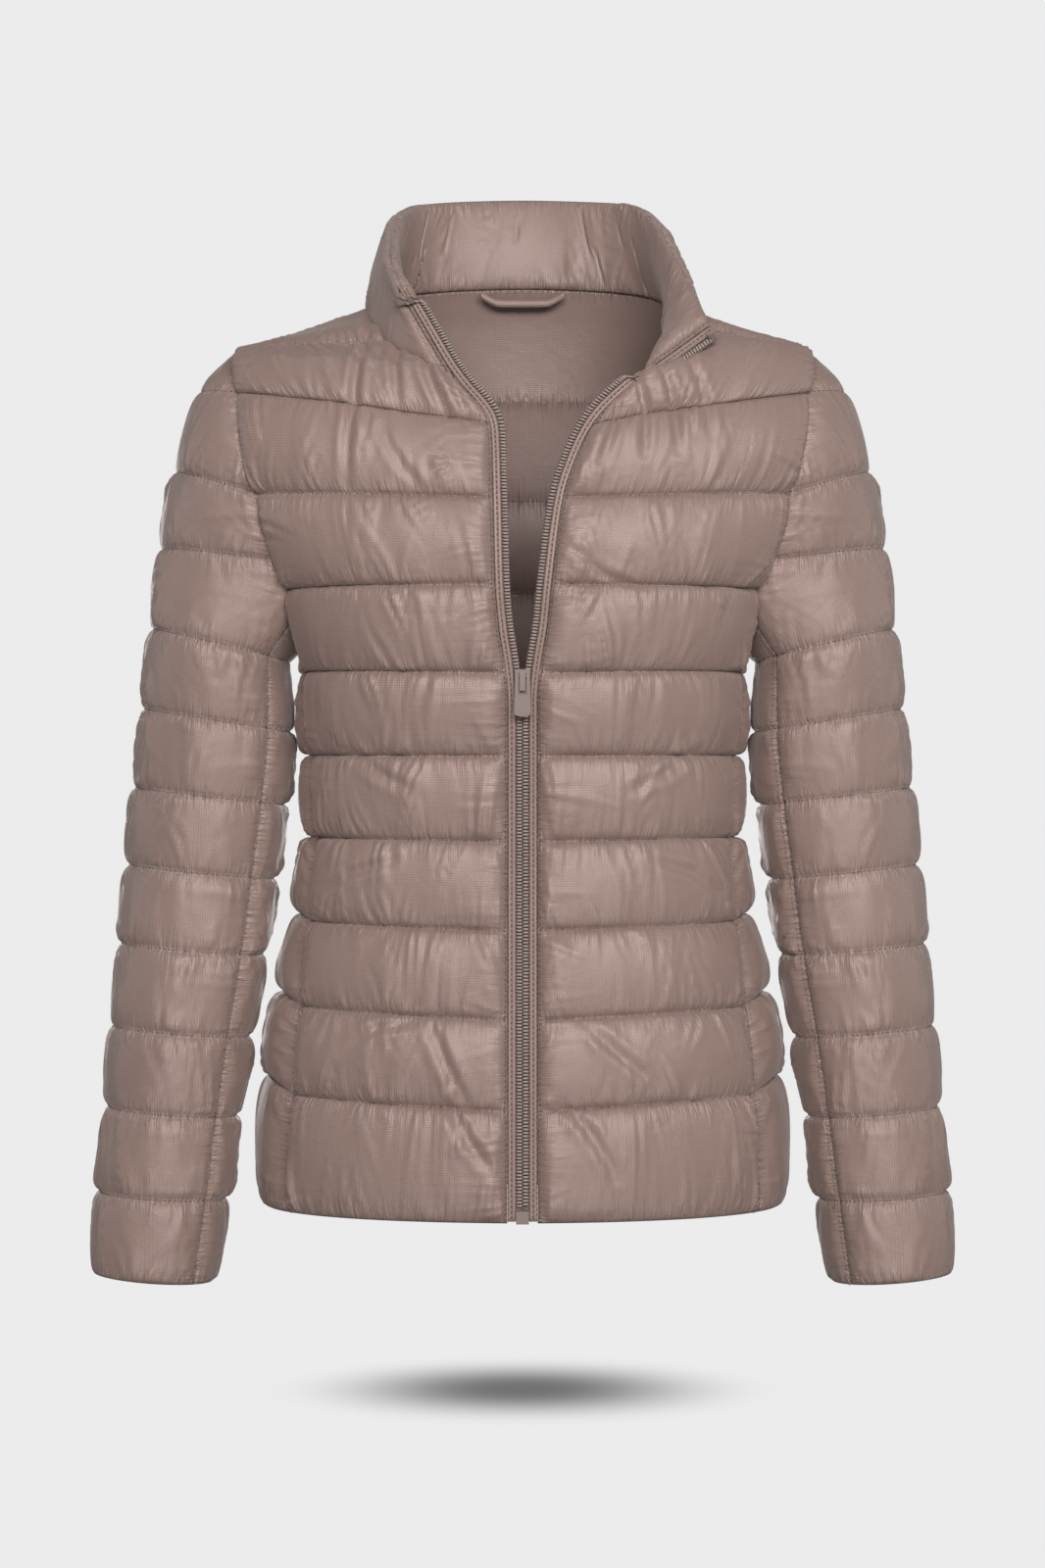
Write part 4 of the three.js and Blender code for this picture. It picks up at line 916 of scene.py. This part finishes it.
def sweep(name, frames, section, material):
    """Solid strip along the frames, with a section of (across, out) corners in millimetres."""
    edge, across, out = frames[:3]
    rings = np.stack([edge + across * a * MM + out * n * MM for a, n in section], axis=1)
    count, corners = rings.shape[:2]
    points = rings.reshape(-1, 3)
    faces = []
    for i in range(count - 1):
        for j in range(corners):
            k = (j + 1) % corners
            faces.append((i * corners + j, i * corners + k, (i + 1) * corners + k, (i + 1) * corners + j))
    faces.append(tuple(range(corners))[::-1])
    faces.append(tuple(range((count - 1) * corners, count * corners)))
    mesh = bpy.data.meshes.new(name)
    mesh.from_pydata(points.tolist(), [], faces)
    layer = mesh.uv_layers.new(name="cloth")
    run = np.concatenate([[0], np.cumsum(np.linalg.norm(np.diff(edge, axis=0), axis=-1))])
    uv = np.stack([np.tile(np.array([a for a, _ in section]) * MM, count), np.repeat(run, corners)], -1)
    loops = np.array([loop.vertex_index for loop in mesh.loops])
    layer.data.foreach_set("uv", uv[loops].astype(np.float32).ravel())
    return smooth_piece(name, mesh, material)


def resample(frames, pitch, shift):
    """The frames' values at even distances along their path."""
    edge = frames[0]
    run = np.concatenate([[0], np.cumsum(np.linalg.norm(np.diff(edge, axis=0), axis=-1))])
    at = np.arange(shift, run[-1], pitch)
    return [np.stack([np.interp(at, run, item[:, k]) for k in range(3)], -1) for item in frames]


def capsules(name, centres, along, across, out, size, sides, material):
    """Many small rounded bars in one mesh; size is half lengths along, across and out."""
    turns = np.linspace(0, 2 * math.pi, sides, endpoint=False)
    rings = [(s, math.cos(t), math.sin(t)) for s in (-BAR_SHOULDER, BAR_SHOULDER) for t in turns]
    shape = np.array([(-1.0, 0.0, 0.0)] + rings + [(1.0, 0.0, 0.0)]) * np.array([size])
    faces = []
    for j in range(sides):
        near, near_next = 1 + j, 1 + (j + 1) % sides
        far, far_next = near + sides, near_next + sides
        faces += [(0, near_next, near), (near, near_next, far_next), (near, far_next, far)]
        faces += [(2 * sides + 1, far, far_next)]
    faces = np.array(faces)
    axes = np.stack([along, across, out], axis=1)
    points = centres[:, None, :] + np.einsum("sk,nkc->nsc", shape, axes)
    every = (faces[None] + (np.arange(len(centres)) * len(shape))[:, None, None]).reshape(-1, 3)
    mesh = bpy.data.meshes.new(name)
    mesh.from_pydata(points.reshape(-1, 3).tolist(), [], every.tolist())
    return smooth_piece(name, mesh, material)


def band_section():
    """Section of an edge band, with its two raised ribs."""
    start, end = BAND["start"], BAND["end"]
    face, rib = BAND["face"], BAND["rib"]
    shares = np.linspace(0, 1, BAND_STEPS)
    top = [(mix(start, end, s), face + (rib - face) * abs(math.sin(2 * math.pi * s)) ** BAND_ROUND)
           for s in shares]
    return [(start, BAND["back"]), (end, BAND["back"])] + top[::-1]


def make_zip():
    """Edge band, tape and coil along each front."""
    for label, side in (("right", -1), ("left", 1)):
        frames = frames_along(side, BAND_END_LINE)
        edge, across, out = frames[:3]
        band = sweep(f"band_{label}", frames, band_section(), MATERIALS["cloth"])
        state(band, "jacket", f"zip_band_{label}")
        for place in BAND_SEAMS:
            STITCHES.append((edge + across * place + out * BAND_SEAM_HEIGHT, out))
        start, end, back, face = (TAPE_STRIP[key] for key in ("start", "end", "back", "face"))
        strip = [(start, back), (end, back), (end, face), (start, face)]
        tape = sweep(f"tape_{label}", frames, strip, MATERIALS["tape"])
        state(tape, "jacket", f"zip_tape_{label}")
        chain = frames_along(side, COIL_END_LINE)
        shift = FIRST_TOOTH + (TOOTH_PITCH / 2 if side > 0 else 0)
        centre, *directions = resample(chain, TOOTH_PITCH, shift)
        for item in directions:
            item /= np.linalg.norm(item, axis=-1, keepdims=True)
        across, out, along = directions
        centre = centre + across * TOOTH_PLACE
        teeth = capsules(f"coil_{label}", centre, across, along, out, TOOTH_SIZE, TOOTH_SIDES,
                         MATERIALS["coil"])
        state(teeth, "jacket", f"zip_coil_{label}")


def bevelled(name, source, body_name, width):
    """Copy of a hard piece with its edges rounded."""
    old = bpy.data.objects[source]
    piece = linked(bpy.data.objects.new(name, old.data.copy()))
    piece.data.materials.clear()
    piece.data.materials.append(MATERIALS["metal"])
    rounding = piece.modifiers.new("edges", "BEVEL")
    rounding.width = width
    rounding.segments = 3
    rounding.limit_method = "ANGLE"
    piece.data.polygons.foreach_set("use_smooth", np.ones(len(piece.data.polygons), bool))
    state(piece, body_name, source)


def make_stitches():
    """Short threads along each sewn line."""
    centres, along, across, out = [], [], [], []
    for path, normal in STITCHES:
        frames = [path, normal, np.gradient(path, axis=0)]
        points = resample(frames, STITCH_PITCH, FIRST_STITCH)
        direction = points[2] / np.linalg.norm(points[2], axis=-1, keepdims=True)
        up = points[1] / np.linalg.norm(points[1], axis=-1, keepdims=True)
        centres.append(points[0] + up * STITCH_LIFT)
        along.append(direction)
        sideways = np.cross(up, direction)
        across.append(sideways / np.linalg.norm(sideways, axis=-1, keepdims=True))
        out.append(up)
    stack = [np.concatenate(item) for item in (centres, along, across, out)]
    thread = capsules("stitches", *stack, STITCH_SIZE, STITCH_SIDES, MATERIALS["thread"])
    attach(thread, "jacket")


def make_loop():
    """Hanger loop that rises at both ends, at the inside of the back neck."""
    half, flat, width = LOOP["half"], LOOP["flat"], LOOP["width"]
    xs = np.linspace(-half, half, LOOP_STEPS)
    bend = np.clip((np.abs(xs) - flat + LOOP["round"]) / (half - flat + LOOP["round"]), 0, 1)
    centre = point(xs, LOOP["y"] - LOOP["bow"] * xs**2, LOOP["z"] + LOOP["rise"] * bend ** 1.3) * MM
    frames = [centre, np.tile([0, 0, 1.0], (LOOP_STEPS, 1)), np.tile([0, -1.0, 0], (LOOP_STEPS, 1))]
    section = [(-width * 0.3, 0.1), (width * 0.3, 0.1), (width * 0.32, 0.9), (width * 0.1, 1.3),
               (-width * 0.1, 1.3), (-width * 0.32, 0.9)]
    loop = sweep("loop", frames, section, MATERIALS["cloth"])
    state(loop, "jacket", "hanger_loop")


quilt("shell_front_right", "front_right", lambda line, share: front_point(line, share, -1), BODY_STITCHES,
      (0, 1), 1, 0.0063, 11, calm_above=1.2, folds=RIGHT_FOLDS, cell=FRONT_CELL)
quilt("shell_front_left", "front_left", lambda line, share: front_point(line, share, 1), BODY_STITCHES,
      (0, 1), -1, 0.0063, 12, calm_above=1.2, folds=LEFT_FOLDS, cell=FRONT_CELL, dents=LEFT_DENTS)
quilt("shell_back", "back", back_point, BACK_STITCHES, (-1, 1), 1, 0.0063, 13,
      calm_above=2.2, lining=1.8, lining_top=3)
quilt("shell_side_left", "side_left", side_point, SIDE_STITCHES, (0, 1), -1, 0.0063, 14, mirror="side_right",
      thin_above=(4.6, 5.6), cell=FRONT_CELL)
quilt("shell_sleeve_upper_left", "sleeve_upper_left", upper_sleeve_point, SLEEVE_STITCHES, (0, 1), -1,
      0.0027, 15, calm_above=2.0, mirror="sleeve_upper_right", cell=SLEEVE_CELL)
quilt("shell_sleeve_under_left", "sleeve_under_left", under_sleeve_point, UNDER_STITCHES, (0, 1), 1,
      0.0027, 16, mirror="sleeve_under_right", thin_above=(4.0, 5.0), cell=SLEEVE_CELL)
quilt("shell_collar_outer", "collar_outer", collar_point, [0, 1], (0, COLLAR_END), -1, 0.0036, 17, lining=0,
      cell=FRONT_CELL, gather=0.8, flat_edge=4)
quilt("shell_collar_inner", "collar_inner", collar_point, [0, 1], (0, COLLAR_END), 1, 0.0036, 18, lining=0,
      cell=FRONT_CELL, gather=0.8, flat_edge=4)
make_zip()
make_stitches()
make_loop()
bevelled("slider", "zip_slider", "jacket", 0.0005)
bevelled("tab", "pull_tab", "pull_tab", 0.0004)
bevelled("bottom_box", "zip_box", "jacket", 0.0007)
bevelled("stop_left", "top_stop_left", "jacket", 0.0006)
bevelled("stop_right", "top_stop_right", "jacket", 0.0006)


def camera_and_light():
    """Camera in front of the jacket, area lights round it and a weak even surrounding."""
    camera = linked(bpy.data.objects.new("camera", bpy.data.cameras.new("camera")))
    camera.data.lens = CAMERA_LENS
    camera.data.sensor_width = CAMERA_SENSOR
    camera.data.clip_end = CAMERA_REACH
    camera.location = (0, -CAMERA_DISTANCE, CAMERA_HEIGHT)
    camera.rotation_euler = (math.pi / 2, 0, 0)
    bpy.context.scene.camera = camera
    for name, place, aim, size, power in LIGHTS:
        lamp = bpy.data.lights.new(name, "AREA")
        lamp.shape = "RECTANGLE"
        lamp.size, lamp.size_y = size
        lamp.energy = power
        holder = linked(bpy.data.objects.new(name, lamp))
        holder.location = place
        direction = np.array(aim) - np.array(place)
        tilt = math.atan2(math.hypot(direction[0], direction[1]), -direction[2])
        holder.rotation_euler = (tilt, 0, math.atan2(direction[1], direction[0]) - math.pi / 2)
    world = bpy.data.worlds.new("studio")
    bpy.context.scene.world = world
    world.use_nodes = True
    set_inputs(world.node_tree.nodes["Background"], Color=WORLD_COLOR, Strength=WORLD_STRENGTH)
    bpy.context.scene.view_settings.view_transform = "Standard"


def backdrop_material():
    """Evenly lit pale studio with a soft shadow painted on the floor below the jacket."""
    material = bpy.data.materials.new("pale_studio")
    material.use_nodes = True
    tree = material.node_tree
    tree.nodes.remove(tree.nodes["Principled BSDF"])
    glow = add_node(tree, "ShaderNodeEmission")
    place = add_node(tree, "ShaderNodeSeparateXYZ")
    tree.links.new(object_place(tree), place.inputs[0])
    along = maths(tree, "DIVIDE", place.outputs["X"], SHADOW_HALF_WIDTH)
    deep = maths(tree, "DIVIDE", place.outputs["Y"], SHADOW_HALF_DEPTH)
    square = maths(tree, "ADD", maths(tree, "MULTIPLY", along, along), maths(tree, "MULTIPLY", deep, deep))
    away = maths(tree, "SQRT", square)
    # Painted shadow: the floor's glow darkens towards an ellipse below the jacket
    shade = add_node(tree, "ShaderNodeMapRange", interpolation_type="SMOOTHERSTEP")
    set_inputs(shade, From_Min=0.0, From_Max=1.0, To_Min=SHADOW_TONE, To_Max=STUDIO_TONE)
    tree.links.new(away, shade.inputs["Value"])
    low = maths(tree, "LESS_THAN", place.outputs["Z"], FLOOR_HEIGHT + FLOOR_DEPTH)
    tone = add_node(tree, "ShaderNodeMix", data_type="FLOAT")
    set_inputs(tone, A=STUDIO_TONE)
    tree.links.new(low, tone.inputs["Factor"])
    tree.links.new(shade.outputs["Result"], tone.inputs["B"])
    tree.links.new(tone.outputs["Result"], glow.inputs["Strength"])
    tree.links.new(glow.outputs[0], tree.nodes["Material Output"].inputs["Surface"])
    return material


def make_studio():
    """Floor disc that curves up into a round wall and a ceiling, seen by the camera only."""
    turn = np.linspace(0, math.pi / 2, STUDIO_CURVE_STEPS)
    inner = STUDIO_RADIUS - STUDIO_CURVE
    profile = [(0.0, 0.0)]
    profile += [(inner + STUDIO_CURVE * math.sin(t), STUDIO_CURVE * (1 - math.cos(t))) for t in turn]
    profile += [(STUDIO_RADIUS, STUDIO_HEIGHT), (0.0, STUDIO_HEIGHT)]
    angles = np.linspace(0, 2 * math.pi, STUDIO_SIDES, endpoint=False)
    points = [(r * math.cos(a), r * math.sin(a), FLOOR_HEIGHT + z) for r, z in profile for a in angles]
    faces = []
    for ring in range(len(profile) - 1):
        for corner in range(STUDIO_SIDES):
            following = (corner + 1) % STUDIO_SIDES
            low, high = ring * STUDIO_SIDES, (ring + 1) * STUDIO_SIDES
            faces.append((low + corner, low + following, high + following, high + corner))
    mesh = bpy.data.meshes.new("studio")
    mesh.from_pydata(points, [], faces)
    studio = linked(bpy.data.objects.new("studio", mesh))
    mesh.materials.append(backdrop_material())
    studio.visible_diffuse = False
    studio.visible_glossy = False
    studio.visible_shadow = False


make_studio()
camera_and_light()
